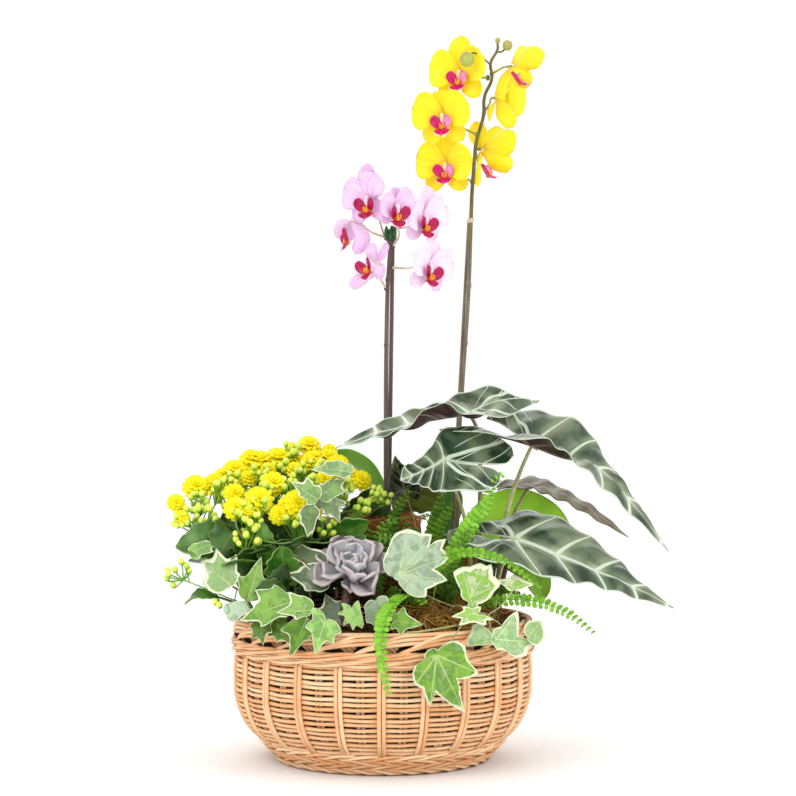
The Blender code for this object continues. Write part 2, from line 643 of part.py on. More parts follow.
# Vine from its foot, and each leaf's stalk end, tip and facing
IVY_SPRIGS = {
    "ivy_sprig_left": (
        ((-108, -56), (-122, -70, 164), (-144, -80, 178), (-160, -76, 190), (-174, -68, 206)),
        (((-184, -62, 208), (-176, -58, 230), (-0.3, -0.9, 0.4)),
         ((-166, -84, 186), (-180, -84, 220), (-0.3, -0.9, 0.3)),
         ((-138, -94, 174), (-125, -92, 216), (0.1, -0.95, 0.2)))),
    "ivy_sprig_front_left": (
        ((-70, -88), (-78, -106, 160), (-92, -120, 164), (-104, -128, 162)),
        (((-100, -126, 172), (-152, -120, 153), (-0.2, -0.8, 0.6)),
         ((-78, -136, 168), (-112, -140, 169), (0.0, -0.8, 0.6)),
         ((-66, -150, 152), (-74, -158, 124), (-0.2, -0.9, 0.4)),
         ((-90, -140, 148), (-106, -138, 114), (-0.5, -0.85, 0.2)))),
    "ivy_sprig_dark": (
        ((-64, -62), (-70, -76, 170), (-74, -84, 190)),
        (((-80, -94, 197), (-110, -98, 215), (-0.2, -0.9, 0.3)),
         ((-80, -100, 183), (-112, -104, 195), (-0.1, -0.9, 0.4)))),
    "ivy_sprig_top": (
        ((-44, -40), (-48, -46, 200), (-53, -52, 240), (-55, -60, 268), (-46, -64, 284)),
        (((-40, -66, 288), (-76, -72, 298), (-0.2, -0.5, 0.8)),
         ((-64, -88, 262), (-88, -92, 276), (-0.2, -0.9, 0.4)),
         ((-50, -72, 264), (-28, -76, 270), (0.2, -0.9, 0.4)),
         ((-36, -54, 240), (-58, -64, 252), (0.1, -0.9, 0.4)),
         ((-66, -87, 252), (-76, -89, 226), (-0.4, -0.9, 0.1)))),
    "ivy_sprig_front": (
        ((8, -84), (6, -104, 160), (-2, -118, 158), (-16, -128, 158), (-30, -132, 158)),
        (((-32, -140, 158), (-36, -148, 140), (0.0, -0.95, 0.3)),
         ((-12, -134, 158), (-14, -140, 140), (0.0, -0.9, 0.4)),
         ((18, -136, 160), (42, -142, 158), (0.1, -0.6, 0.8)))),
    "ivy_sprig_right": (
        ((60, -82), (70, -104, 162), (84, -122, 160), (100, -126, 156)),
        (((16, -118, 194), (64, -120, 214), (0.0, -0.95, 0.3)),
         ((86, -118, 170), (92, -116, 206), (0.1, -0.9, 0.4)),
         ((128, -110, 178), (108, -118, 190), (0.0, -0.5, 0.9)),
         ((84, -132, 158), (60, -144, 156), (0.0, -0.7, 0.7)),
         ((122, -122, 134), (74, -158, 132), (0.55, -0.8, 0.2)),
         ((52, -158, 118), (72, -168, 66), (0.0, -1.0, 0.05)))),
}

# Frond's foot, its path, and its spread
FERN_FRONDS = (
    ((54, -62), ((56, -84, 196), (68, -84, 226), (78, -72, 244), (92, -60, 258), (106, -44, 282)),
     (0.7, 0.1, -0.7)),
    ((48, -76), ((52, -100, 204), (75, -104, 213), (98, -106, 207), (120, -106, 192), (138, -106, 176)),
     (0.1, -0.5, 0.8)),
    ((84, -58), ((104, -84, 164), (142, -94, 166), (176, -96, 155), (204, -92, 134)), (0.1, -0.5, 0.8)),
    ((14, -72), ((8, -98, 167), (4, -126, 172), (4, -156, 156), (2, -168, 124), (6, -168, 82)),
     (0.9, 0.1, 0.2)),
)
PINNA_PAIRS = 9
PINNA_REACH = 4.6

MOSS_BEARING, MOSS_SPREAD = -42, 20  # degrees from +X: the pad's middle and half its length
MOSS_RADIUS, MOSS_HALF_WIDTH = 118, 9
MOSS_DEPTH = 4.0


def alocasia(ground):
    for number, (foot, stalk, rib, across, across_tip) in enumerate(ALOCASIA, 1):
        midrib = Midrib(rib, across, across_tip)
        radius = min(PETIOLE_RADIUS, midrib.length * 0.03)
        foot, ground_point = rooted(foot[0], foot[1], radius, ground)
        blade = blade_mesh(midrib, ARROW_BLADE, 0.12, BLADE)
        end = [rib[0], midrib.point(0.08, 0.0, 0.0)]
        petiole = stem_mesh([ground_point, *stalk, *end], radius, radius * 0.7, 3, foot)
        grown_together(f"alocasia_leaf_{number}", [blade, petiole], ALOCASIA_LEAF)


def kalanchoe(ground):
    for number, ((x, y), middle, radius) in enumerate(KALANCHOE_HEADS, 1):
        foot, ground_point = rooted(x, y, 2.4, ground)
        middle = Vector(middle)
        bend = Vector(ground_point).lerp(middle, 0.5) + Vector((0, 0, 8))
        stalk = stem_mesh([ground_point, bend, middle], 2.4, 2.0, 3, foot)
        shape = bmesh.new()
        bmesh.ops.create_uvsphere(shape, u_segments=10, v_segments=6, radius=1.0)
        bmesh.ops.scale(shape, vec=(radius, radius, HEAD_HALF_HEIGHT), verts=shape.verts)
        bmesh.ops.translate(shape, vec=middle, verts=shape.verts)
        grown_together(f"kalanchoe_head_{number}", [mesh_from(shape, "head"), stalk], KALANCHOE_BLOOM)
    for number, ((x, y), points, across) in enumerate(KALANCHOE_LEAVES, 1):
        foot, ground_point = rooted(x, y, 2.0, ground)
        midrib = Midrib(points, across)
        blade = blade_mesh(midrib, ROUND_BLADE, 0.15, 1.6)
        stalk = stem_mesh([ground_point, points[0], midrib.point(0.12, 0.0, 0.0)], 2.0, None, 3, foot)
        grown_together(f"kalanchoe_leaf_{number}", [blade, stalk], LEAF)


def echeveria(ground):
    """A rosette tipped towards the front: a sphere drawn out into rings of blunt leaves."""
    x, y = ECHEVERIA_FOOT
    foot, ground_point = rooted(x, y, ECHEVERIA_STEM, ground)
    middle = Vector(ECHEVERIA_MIDDLE)
    shape = bmesh.new()
    bmesh.ops.create_uvsphere(shape, u_segments=16, v_segments=8, radius=1.0)
    for vert in shape.verts:
        angle = math.atan2(vert.co.y, vert.co.x)
        ring = 1.0 + 0.10 * math.cos(8 * angle) * math.hypot(vert.co.x, vert.co.y)
        vert.co = Vector((vert.co.x * ring, vert.co.y * ring, vert.co.z * 0.5)) * ECHEVERIA_RADIUS
    tip = Matrix.Translation(middle) @ Matrix.Rotation(math.radians(ECHEVERIA_TIP), 4, 'X')
    bmesh.ops.transform(shape, matrix=tip, verts=shape.verts)
    stem = stem_mesh([ground_point, middle], ECHEVERIA_STEM, None, 2, foot)
    grown_together("echeveria", [mesh_from(shape, "rosette"), stem], SUCCULENT)


def ivy(ground):
    for name, (vine, leaves) in IVY_SPRIGS.items():
        foot, ground_point = rooted(vine[0][0], vine[0][1], VINE_RADIUS, ground)
        ivy_sprig(name, foot, [ground_point, *vine[1:]], leaves)


def fern(ground):
    rows = []
    for step in range(2 * PINNA_PAIRS + 1):
        along = step / (2 * PINNA_PAIRS)
        rows.append((along, step % 2 * math.sqrt(max(1.0 - along, 0.15))))
    for number, ((x, y), points, across) in enumerate(FERN_FRONDS, 1):
        foot, ground_point = rooted(x, y, 1.4, ground)
        midrib = Midrib(points, across)
        reach = PINNA_REACH / midrib.length
        edges = [(along, 0.0, along, reach * (0.25 + wide)) for along, wide in rows]
        blade = blade_mesh(midrib, edges, 0.0, 1.0)
        stalk = stem_mesh([ground_point, points[0], midrib.point(0.1, 0.0, 0.0)], 1.4, None, 3, foot)
        grown_together(f"fern_frond_{number}", [blade, stalk], FERN)


def moss():
    """A pad of moss on the soil's dome, from the front round to the right."""
    shape = bmesh.new()
    bmesh.ops.create_grid(shape, x_segments=8, y_segments=3, size=1.0)
    for vert in shape.verts:
        angle = math.radians(MOSS_BEARING + MOSS_SPREAD * vert.co.x)
        reach = MOSS_RADIUS + MOSS_HALF_WIDTH * vert.co.y
        x, y = reach * math.cos(angle), reach * math.sin(angle)
        vert.co = (x, y, soil_height(x, y) + 0.8 * MOSS_DEPTH)
    bmesh.ops.recalc_face_normals(shape, faces=shape.faces)
    part("moss_pad", thickened(mesh_from(shape, "moss_pad"), MOSS_DEPTH), MOSS)


# ---------------------------------------------------------------- build

for old in list(bpy.data.objects):
    bpy.data.objects.remove(old)

PARTS = collection("potted_moth_orchid_arrangement")
CUTTERS = collection("cutters")

WICKER = material("wicker", (0.72, 0.42, 0.23), 0.55)
LINER = material("liner", (0.03, 0.03, 0.03), 0.5)
SOIL = material("soil", (0.05, 0.03, 0.02), 0.95)
ROOTS = material("roots", (0.17, 0.07, 0.03), 0.9)
MOSS = material("moss", (0.30, 0.17, 0.05), 0.95)
SPIKE = material("spike", (0.14, 0.12, 0.07), 0.5)
STAKE = material("stake", (0.08, 0.05, 0.05), 0.6)
CLIP = material("clip", (0.03, 0.16, 0.05), 0.4)
PINK_PETAL = material("pink_petal", (0.76, 0.47, 0.66), 0.5)
YELLOW_PETAL = material("yellow_petal", (0.90, 0.75, 0.03), 0.5)
LEAF = material("leaf", (0.06, 0.17, 0.03), 0.4)
ALOCASIA_LEAF = material("alocasia_leaf", (0.03, 0.09, 0.05), 0.35)
KALANCHOE_BLOOM = material("kalanchoe_bloom", (0.90, 0.65, 0.02), 0.6)
SUCCULENT = material("succulent", (0.33, 0.28, 0.34), 0.6)
IVY = material("ivy", (0.25, 0.42, 0.17), 0.5)
FERN = material("fern", (0.18, 0.45, 0.06), 0.5)

SOIL_GROUND = {"top": None, "sockets": []}
PINK_GROUND = {"top": ROOT_BALLS["pink_orchid_root_ball"][2] - 3, "sockets": []}
YELLOW_GROUND = {"top": ROOT_BALLS["yellow_orchid_root_ball"][2] - 3, "sockets": []}

basket()
FILLS = liner_and_fill()
orchids(PINK_GROUND, YELLOW_GROUND)
spike_clip()
alocasia(SOIL_GROUND)
kalanchoe(SOIL_GROUND)
echeveria(SOIL_GROUND)
ivy(SOIL_GROUND)
fern(SOIL_GROUND)
moss()
for fill, dug in zip(FILLS, (SOIL_GROUND, PINK_GROUND, YELLOW_GROUND)):
    cut_sockets(fill, dug)
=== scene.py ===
"""Potted moth orchid arrangement: its looks, laid out as a Blender add-on.

Two moth orchids, an alocasia, a kalanchoe, ivy, a button fern and an echeveria, planted together in a
wicker basket. Units are metres and +Z is up. -Y is the front. Places in the tables are in millimetres.
"""
import json
import math
import random
import sys

import bpy
import numpy as np
from bpy.props import FloatProperty, FloatVectorProperty, IntProperty, PointerProperty
from mathutils import Matrix, Vector, noise
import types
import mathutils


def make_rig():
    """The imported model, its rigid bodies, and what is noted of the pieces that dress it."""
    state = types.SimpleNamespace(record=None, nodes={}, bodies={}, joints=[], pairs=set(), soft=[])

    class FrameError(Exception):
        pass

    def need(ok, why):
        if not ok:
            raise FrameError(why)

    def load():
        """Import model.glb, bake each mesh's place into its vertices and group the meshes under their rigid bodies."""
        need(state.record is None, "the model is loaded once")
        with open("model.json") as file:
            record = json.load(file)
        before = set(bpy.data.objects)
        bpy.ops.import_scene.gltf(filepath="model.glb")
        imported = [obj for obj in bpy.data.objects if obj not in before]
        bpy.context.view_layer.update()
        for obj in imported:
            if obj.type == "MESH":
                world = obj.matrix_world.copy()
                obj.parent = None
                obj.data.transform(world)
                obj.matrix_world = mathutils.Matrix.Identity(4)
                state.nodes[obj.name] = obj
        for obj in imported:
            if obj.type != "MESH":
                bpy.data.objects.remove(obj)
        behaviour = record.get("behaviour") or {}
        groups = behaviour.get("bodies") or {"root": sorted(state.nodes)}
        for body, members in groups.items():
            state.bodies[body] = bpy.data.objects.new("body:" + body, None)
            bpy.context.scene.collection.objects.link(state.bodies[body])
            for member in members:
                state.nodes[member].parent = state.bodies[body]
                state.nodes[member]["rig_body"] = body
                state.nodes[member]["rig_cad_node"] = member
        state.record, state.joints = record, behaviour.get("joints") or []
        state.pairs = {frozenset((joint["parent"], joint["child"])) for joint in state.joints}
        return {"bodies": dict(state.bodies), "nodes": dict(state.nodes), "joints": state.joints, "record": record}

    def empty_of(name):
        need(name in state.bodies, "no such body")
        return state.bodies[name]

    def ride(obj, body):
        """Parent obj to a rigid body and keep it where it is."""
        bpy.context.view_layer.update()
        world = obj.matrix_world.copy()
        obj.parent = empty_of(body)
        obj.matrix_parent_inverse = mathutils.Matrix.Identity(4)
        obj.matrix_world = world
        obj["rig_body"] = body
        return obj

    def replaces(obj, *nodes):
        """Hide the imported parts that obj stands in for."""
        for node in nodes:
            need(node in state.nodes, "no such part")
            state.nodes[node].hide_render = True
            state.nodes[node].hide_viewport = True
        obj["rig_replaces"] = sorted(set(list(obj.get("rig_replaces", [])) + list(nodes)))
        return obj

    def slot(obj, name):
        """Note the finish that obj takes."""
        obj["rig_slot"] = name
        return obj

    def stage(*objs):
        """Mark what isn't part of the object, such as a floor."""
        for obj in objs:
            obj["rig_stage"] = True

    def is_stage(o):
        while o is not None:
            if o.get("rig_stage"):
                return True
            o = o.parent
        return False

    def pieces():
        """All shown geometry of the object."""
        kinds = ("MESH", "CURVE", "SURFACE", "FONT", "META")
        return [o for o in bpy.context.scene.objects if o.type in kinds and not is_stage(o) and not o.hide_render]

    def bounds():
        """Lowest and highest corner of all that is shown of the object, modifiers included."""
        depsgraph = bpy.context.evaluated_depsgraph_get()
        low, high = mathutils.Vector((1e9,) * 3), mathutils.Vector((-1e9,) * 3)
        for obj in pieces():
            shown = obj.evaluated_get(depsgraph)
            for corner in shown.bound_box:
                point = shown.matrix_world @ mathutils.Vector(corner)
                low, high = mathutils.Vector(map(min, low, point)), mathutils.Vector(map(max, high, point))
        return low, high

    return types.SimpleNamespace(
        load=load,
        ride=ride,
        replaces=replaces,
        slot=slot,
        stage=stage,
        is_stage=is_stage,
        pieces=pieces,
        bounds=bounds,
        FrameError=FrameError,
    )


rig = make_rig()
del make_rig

bl_info = {
    "name": "Potted moth orchid arrangement",
    "version": (1, 0, 0),
    "blender": (4, 5, 0),
    "location": "View3D > Sidebar > Planting",
    "description": "Plants a wicker basket with moth orchids and foliage round the packed frame",
    "category": "Object",
}

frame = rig.load()
CAD_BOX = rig.bounds()
MM = 0.001
TURN = math.tau


def tone(red, green, blue):
    """A linear colour from the 0 to 255 values of a paint chart."""
    return tuple((value / 255) ** 2.2 for value in (red, green, blue))


def length(name, description, default):
    return FloatProperty(name=name, description=description, default=default, unit='LENGTH')


def colour(name, description, *chart):
    return FloatVectorProperty(name=name, description=description, subtype='COLOR', default=tone(*chart))


# ---------------------------------------------------------------- settings

class BasketSettings(bpy.types.PropertyGroup):
    rod: length("Rod", "Thickness of a weaving rod", 0.0039)
    stake: length("Stake", "Thickness of an upright stake", 0.0040)
    rows: IntProperty(name="Rows", description="Rows of weaving between foot and rim", default=18)
    light: colour("Light wicker", "Colour of the palest rods", 255, 218, 174)
    dark: colour("Dark wicker", "Colour of the darkest rods", 232, 161, 102)


class FillSettings(bpy.types.PropertyGroup):
    soil: colour("Soil", "Colour of the potting soil", 62, 44, 30)
    moss: colour("Moss", "Colour of the dry moss", 214, 168, 88)
    coir: colour("Coir", "Colour of the fibre round the root balls", 186, 112, 54)


class OrchidSettings(bpy.types.PropertyGroup):
    pink: colour("Pink", "Colour of the pink orchid's petals", 244, 216, 242)
    pink_vein: colour("Pink veins", "Colour of the pink petals' veins", 220, 164, 224)
    magenta: colour("Lip", "Colour of both orchids' lips", 192, 4, 92)
    yellow: colour("Yellow", "Colour of the yellow orchid's petals", 255, 238, 22)


class FoliageSettings(bpy.types.PropertyGroup):
    alocasia: colour("Alocasia", "Colour of the alocasia's blades", 46, 72, 46)
    vein: colour("Alocasia veins", "Colour of the alocasia's veins and margins", 205, 218, 196)
    ivy: colour("Ivy", "Colour of the ivy's leaves", 120, 168, 48)
    cream: colour("Ivy margin", "Colour of the ivy's margins", 238, 240, 206)
    fern: colour("Fern", "Colour of the button fern", 150, 212, 62)
    kalanchoe: colour("Kalanchoe", "Colour of the kalanchoe's florets", 255, 246, 30)
    kalanchoe_leaf: colour("Kalanchoe leaf", "Colour of the kalanchoe's leaves", 80, 122, 44)
    echeveria: colour("Echeveria", "Colour of the echeveria's leaves", 188, 189, 198)


class StageSettings(bpy.types.PropertyGroup):
    floor: colour("Floor", "Colour of the floor", 255, 255, 255)
    key: FloatProperty(name="Key", description="Power of the main light", default=12.0, unit='POWER')
    fill: FloatProperty(name="Fill", description="Brightness of the light all round", default=1.04)


def settings(group):
    return getattr(bpy.context.scene, "planting_" + group)


# ---------------------------------------------------------------- modelling by hand

def deselect():
    bpy.ops.object.select_all(action='DESELECT')


def only(piece):
    deselect()
    piece.select_set(True)
    bpy.context.view_layer.objects.active = piece
    return piece


def applied(piece, kind, **values):
    """A modifier set and applied at once."""
    only(piece)
    bpy.ops.object.modifier_add(type=kind)
    modifier = piece.modifiers[-1]
    for name, value in values.items():
        setattr(modifier, name, value)
    bpy.ops.object.modifier_apply(modifier=modifier.name)
    return piece


def joined(pieces):
    deselect()
    for piece in pieces:
        piece.select_set(True)
    bpy.context.view_layer.objects.active = pieces[0]
    bpy.ops.object.join()
    return bpy.context.object


def edited(piece, *steps):
    """Runs steps in edit mode with all of the piece selected."""
    only(piece)
    bpy.ops.object.mode_set(mode='EDIT')
    bpy.ops.mesh.select_all(action='SELECT')
    for step in steps:
        step()
    bpy.ops.object.mode_set(mode='OBJECT')
    return piece


def welded(piece, outward=True):
    """Doubles merged, and all faces turned outwards where the shape is closed."""
    def weld():
        bpy.ops.mesh.remove_doubles(threshold=0.00001)
        if outward:
            bpy.ops.mesh.normals_make_consistent(inside=False)
    return edited(piece, weld)


def points_of(piece):
    places = np.empty(len(piece.data.vertices) * 3)
    piece.data.vertices.foreach_get("co", places)
    return places.reshape(-1, 3)


def put_points(piece, places):
    piece.data.vertices.foreach_set("co", np.ascontiguousarray(places, dtype=float).ravel())
    piece.data.update()
    return piece


def grid(columns, rows, shape):
    """A sheet of cells whose points lie where shape puts their place across and along, each 0 to 1."""
    deselect()
    bpy.ops.mesh.primitive_grid_add(x_subdivisions=columns, y_subdivisions=rows, size=1.0)
    piece = bpy.context.object
    flat = points_of(piece) + 0.5
    return put_points(piece, np.stack(shape(flat[:, 0], flat[:, 1]), axis=1))


def sheet(columns, rows, shape, thickness):
    """A grid in the given shape, welded and given a thickness."""
    made = welded(grid(columns, rows, shape), outward=False)
    return applied(made, 'SOLIDIFY', thickness=thickness, offset=0.0)


def mapped(piece, across, along):
    """The piece's UV map filled from two values for each point."""
    corners = np.empty(len(piece.data.loops), dtype=int)
    piece.data.loops.foreach_get("vertex_index", corners)
    layer = piece.data.uv_layers.active or piece.data.uv_layers.new(name="UVMap")
    layer.data.foreach_set("uv", np.stack((across[corners], along[corners]), axis=1).ravel())
    return piece


def marked(piece, name, values):
    """A number for each point, which finishes read."""
    layer = piece.data.attributes.get(name) or piece.data.attributes.new(name, 'FLOAT', 'POINT')
    layer.data.foreach_set("value", np.broadcast_to(values, len(piece.data.vertices)).astype(float))
    return piece


def copies(model, matrices):
    """The model once for each matrix, each copy with its own mesh, joined. The model is used up."""
    made = []
    for matrix in matrices:
        mesh = model.data.copy()
        mesh.transform(matrix)
        copy = bpy.data.objects.new(model.name, mesh)
        bpy.context.scene.collection.objects.link(copy)
        made.append(copy)
    bpy.data.objects.remove(model)
    return joined(made)


def rods(paths, thickness, sides=8, closed=False, taper=None):
    """Round rods along paths of points, as one mesh. Taper gives each rod's thickness from end to end."""
    deselect()
    bpy.ops.curve.primitive_nurbs_path_add()
    piece = bpy.context.object
    curve = piece.data
    curve.splines.clear()
    curve.dimensions = '3D'
    curve.bevel_depth = thickness / 2
    curve.bevel_resolution = (sides - 4) // 2
    curve.use_fill_caps = not closed
    curve.twist_mode = 'MINIMUM'
    for path in paths:
        spline = curve.splines.new('POLY')
        spline.points.add(len(path) - 1)
        places = np.ones((len(path), 4))
        places[:, :3] = path
        spline.points.foreach_set("co", places.ravel())
        spline.use_cyclic_u = closed
        if taper is not None:
            sizes = np.interp(np.linspace(0, 1, len(path)), np.linspace(0, 1, len(taper)), taper)
            spline.points.foreach_set("radius", sizes)
    bpy.ops.object.convert(target='MESH')
    return bpy.context.object


def painted(piece, finish):
    piece.data.materials.clear()
    piece.data.materials.append(finish)
    return piece


def finished(piece, name, finish, slot, nodes=()):
    """Names the piece, gives it its finish unless it has its own, and ties it to the frame."""
    piece.name = name
    piece.data.name = name
    if finish:
        painted(piece, finish)
    only(piece)
    bpy.ops.object.shade_smooth()
    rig.ride(piece, "root")
    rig.slot(piece, slot)
    if nodes:
        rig.replaces(piece, *nodes)
    return piece


# ---------------------------------------------------------------- curves

def smooth_path(points, steps):
    """Points on a smooth curve through the given ones, given in millimetres."""
    nodes = np.array(points, dtype=float) * MM
    if len(nodes) == 2:
        share = np.linspace(0, 1, steps + 1)[:, None]
        return nodes[0] * (1 - share) + nodes[1] * share
    before, after = np.vstack((nodes[:1], nodes[:-1])), np.vstack((nodes[1:], nodes[-1:]))
    headings = after - before
    headings /= np.linalg.norm(headings, axis=1)[:, None]
    path = []
    for number in range(len(nodes) - 1):
        start, end = nodes[number], nodes[number + 1]
        reach = np.linalg.norm(end - start)
        for step in range(steps):
            t = step / steps
            path.append(start * (1 + 2 * t) * (1 - t) ** 2 + end * t * t * (3 - 2 * t)
                        + headings[number] * reach * t * (1 - t) ** 2
                        - headings[number + 1] * reach * t * t * (1 - t))
    path.append(nodes[-1])
    return np.array(path)


class Midrib:
    """A leaf's midrib and the way that its blade spreads, from base to tip."""

    def __init__(self, points, across):
        self.path = smooth_path(points, 12)
        steps = np.linalg.norm(np.diff(self.path, axis=0), axis=1)
        self.marks = np.concatenate(([0.0], np.cumsum(steps)))
        self.length = self.marks[-1]
        self.across = np.array(across, dtype=float)

    def place(self, u):
        """Place, sideways way and normal at the shares u of the length, straight on beyond the ends."""
        u = np.asarray(u, dtype=float)
        distance = np.clip(u, 0, 1) * self.length
        middle = np.stack([np.interp(distance, self.marks, self.path[:, axis]) for axis in range(3)], axis=-1)
        ahead = np.clip(distance + 0.03 * self.length, 0, self.length)
        behind = np.clip(distance - 0.03 * self.length, 0, self.length)
        along = np.stack([np.interp(ahead, self.marks, self.path[:, axis])
                          - np.interp(behind, self.marks, self.path[:, axis]) for axis in range(3)], axis=-1)
        along /= np.linalg.norm(along, axis=-1)[..., None]
        middle = middle + along * ((u - np.clip(u, 0, 1)) * self.length)[..., None]
        side = self.across - along * (self.across * along).sum(-1)[..., None]
        side /= np.linalg.norm(side, axis=-1)[..., None]
        return middle, side, np.cross(along, side)

    def point(self, u, w, lift):
        """Places at u along and w to the side, raised by lift, all in leaf lengths."""
        middle, side, normal = self.place(u)
        w, lift = np.broadcast_arrays(w, lift)
        return middle + (side * w[..., None] + normal * lift[..., None]) * self.length


def facing(place, along, normal):
    """The matrix that lays a leaf at a place, its length along one way and its face to another."""
    along = Vector(along).normalized()
    normal = Vector(normal)
    normal = (normal - along * normal.dot(along)).normalized()
    turn = Matrix((along, normal.cross(along), normal)).transposed().to_4x4()
    return Matrix.Translation(Vector(place)) @ turn


# ---------------------------------------------------------------- finishes

class Pattern:
    """A value in a finish's node tree, which Python's own signs work on."""

    def __init__(self, finish, socket):
        self.finish, self.socket = finish, socket

    def math(self, operation, *others, clamp=False):
        node = self.finish.node('ShaderNodeMath', operation=operation, use_clamp=clamp)
        for socket, value in zip(node.inputs, (self, *others)):
            self.finish.feed(socket, value)
        return Pattern(self.finish, node.outputs[0])

    def __add__(self, other):
        return self.math('ADD', other)

    def __sub__(self, other):
        return self.math('SUBTRACT', other)

    def __mul__(self, other):
        return self.math('MULTIPLY', other)

    def __truediv__(self, other):
        return self.math('DIVIDE', other)

    def __abs__(self):
        return self.math('ABSOLUTE')

    def band(self, low, high, out_low=0.0, out_high=1.0):
        """A smooth step from one value to another as this one goes from low to high."""
        node = self.finish.node('ShaderNodeMapRange', interpolation_type='SMOOTHSTEP')
        for socket, value in zip(node.inputs, (self, low, high, out_low, out_high)):
            self.finish.feed(socket, value)
        return Pattern(self.finish, node.outputs[0])


class Finish:
    """A procedural finish, built up on a Principled shader."""

    def __init__(self, name, roughness, **values):
        self.material = bpy.data.materials.new(name)
        self.material.use_nodes = True
        self.nodes, self.links = self.material.node_tree.nodes, self.material.node_tree.links
        self.shader = self.nodes["Principled BSDF"]
        self.shader.inputs["Roughness"].default_value = roughness
        for socket, value in values.items():
            self.shader.inputs[socket.replace("_", " ")].default_value = value

    def node(self, kind, **values):
        made = self.nodes.new(kind)
        for name, value in values.items():
            setattr(made, name, value)
        return made

    def feed(self, socket, value):
        if isinstance(value, Pattern):
            self.links.new(value.socket, socket)
        elif isinstance(value, bpy.types.NodeSocket):
            self.links.new(value, socket)
        elif hasattr(value, "__len__") and len(value) == 3 and socket.type == 'RGBA':
            socket.default_value = (*value, 1.0)
        else:
            socket.default_value = value

    def place(self):
        return self.node('ShaderNodeTexCoord').outputs["Object"]

    def across_along(self):
        """The two values of the piece's own UV map."""
        split = self.node('ShaderNodeSeparateXYZ')
        self.links.new(self.node('ShaderNodeTexCoord').outputs["UV"], split.inputs[0])
        return Pattern(self, split.outputs[0]), Pattern(self, split.outputs[1])

    def vector(self, *values):
        node = self.node('ShaderNodeCombineXYZ')
        for socket, value in zip(node.inputs, values):
            self.feed(socket, value)
        return node.outputs[0]

    def mark(self, name):
        return Pattern(self, self.node('ShaderNodeAttribute', attribute_name=name).outputs["Fac"])

    def each(self):
        """A different value for each separate shape in the piece."""
        return Pattern(self, self.node('ShaderNodeNewGeometry').outputs["Random Per Island"])

    def upward(self):
        split = self.node('ShaderNodeSeparateXYZ')
        self.links.new(self.node('ShaderNodeNewGeometry').outputs["Normal"], split.inputs[0])
        return Pattern(self, split.outputs[2])

    def cloud(self, scale, detail, where=None, distortion=0.0):
        node = self.node('ShaderNodeTexNoise')
        self.feed(node.inputs["Vector"], where or self.place())
        self.feed(node.inputs["Scale"], scale)
        self.feed(node.inputs["Detail"], detail)
        self.feed(node.inputs["Distortion"], distortion)
        return Pattern(self, node.outputs["Fac"])

    def cells(self, scale):
        node = self.node('ShaderNodeTexVoronoi')
        self.feed(node.inputs["Vector"], self.place())
        self.feed(node.inputs["Scale"], scale)
        return Pattern(self, node.outputs["Distance"])

    def blend(self, share, first, second):
        """A colour between two, by a share from 0 to 1."""
        node = self.node('ShaderNodeMix', data_type='RGBA')
        self.feed(node.inputs["Factor"], share)
        self.feed(node.inputs[6], first)
        self.feed(node.inputs[7], second)
        return node.outputs[2]

    def shade(self, colour_socket, value):
        """A colour made darker or lighter by a value."""
        node = self.node('ShaderNodeHueSaturation')
        self.feed(node.inputs["Color"], colour_socket)
        self.feed(node.inputs["Value"], value)
        return node.outputs[0]

    def paint(self, colour_socket):
        self.feed(self.shader.inputs["Base Color"], colour_socket)
        return self

    def gloss(self, value):
        self.feed(self.shader.inputs["Roughness"], value)
        return self

    def relief(self, height, depth, strength):
        node = self.node('ShaderNodeBump')
        self.feed(node.inputs["Height"], height)
        self.feed(node.inputs["Distance"], depth)
        self.feed(node.inputs["Strength"], strength)
        self.links.new(node.outputs[0], self.shader.inputs["Normal"])
        return self


# ---------------------------------------------------------------- basket

STAKE_PAIRS = 22
PITCH = TURN / STAKE_PAIRS
FRONT = -TURN / 4
# Height and outer radius of the wall
WALL = ((0, 104), (8, 110), (20, 122), (33, 136), (47, 144), (66, 149.5), (96, 149.5), (108, 148.5),
        (142, 148))
WALL_HEIGHTS = np.arange(0, 143.0)
WALL_RADII = np.convolve(np.interp(np.arange(-6, 149.0), *zip(*WALL)), np.ones(13) / 13, 'valid')

# Height, number of rods, lean and start of each twined row
FOOT_ROWS = ((3.6, 3, -1, 0), (8.8, 3, 1, 0), (14.0, 3, -1, 0), (18.8, 3, 1, 0))
RIM_ROWS = ((111.0, 2, 1, 0), (115.2, 2, 1, 1), (119.0, 3, 1, 2))
WEAVING_FOOT, WEAVING_TOP = 23.6, 107.2
BASE_RINGS = np.arange(7.0, 104.0, 3.9)
INNER_STAKE = 0.0036
STAKE_FOOT, STAKE_TOP = 0.014, 0.113
BORDER_STRANDS = 3


def wall_radius(height):
    """The smooth radius of the stakes' outside at a height, both in metres."""
    return np.interp(np.asarray(height) / MM, WALL_HEIGHTS, WALL_RADII) * MM


def round_path(angles, radius, height):
    return np.stack((radius * np.cos(angles), radius * np.sin(angles),
                     np.broadcast_to(height, angles.shape)), axis=1)


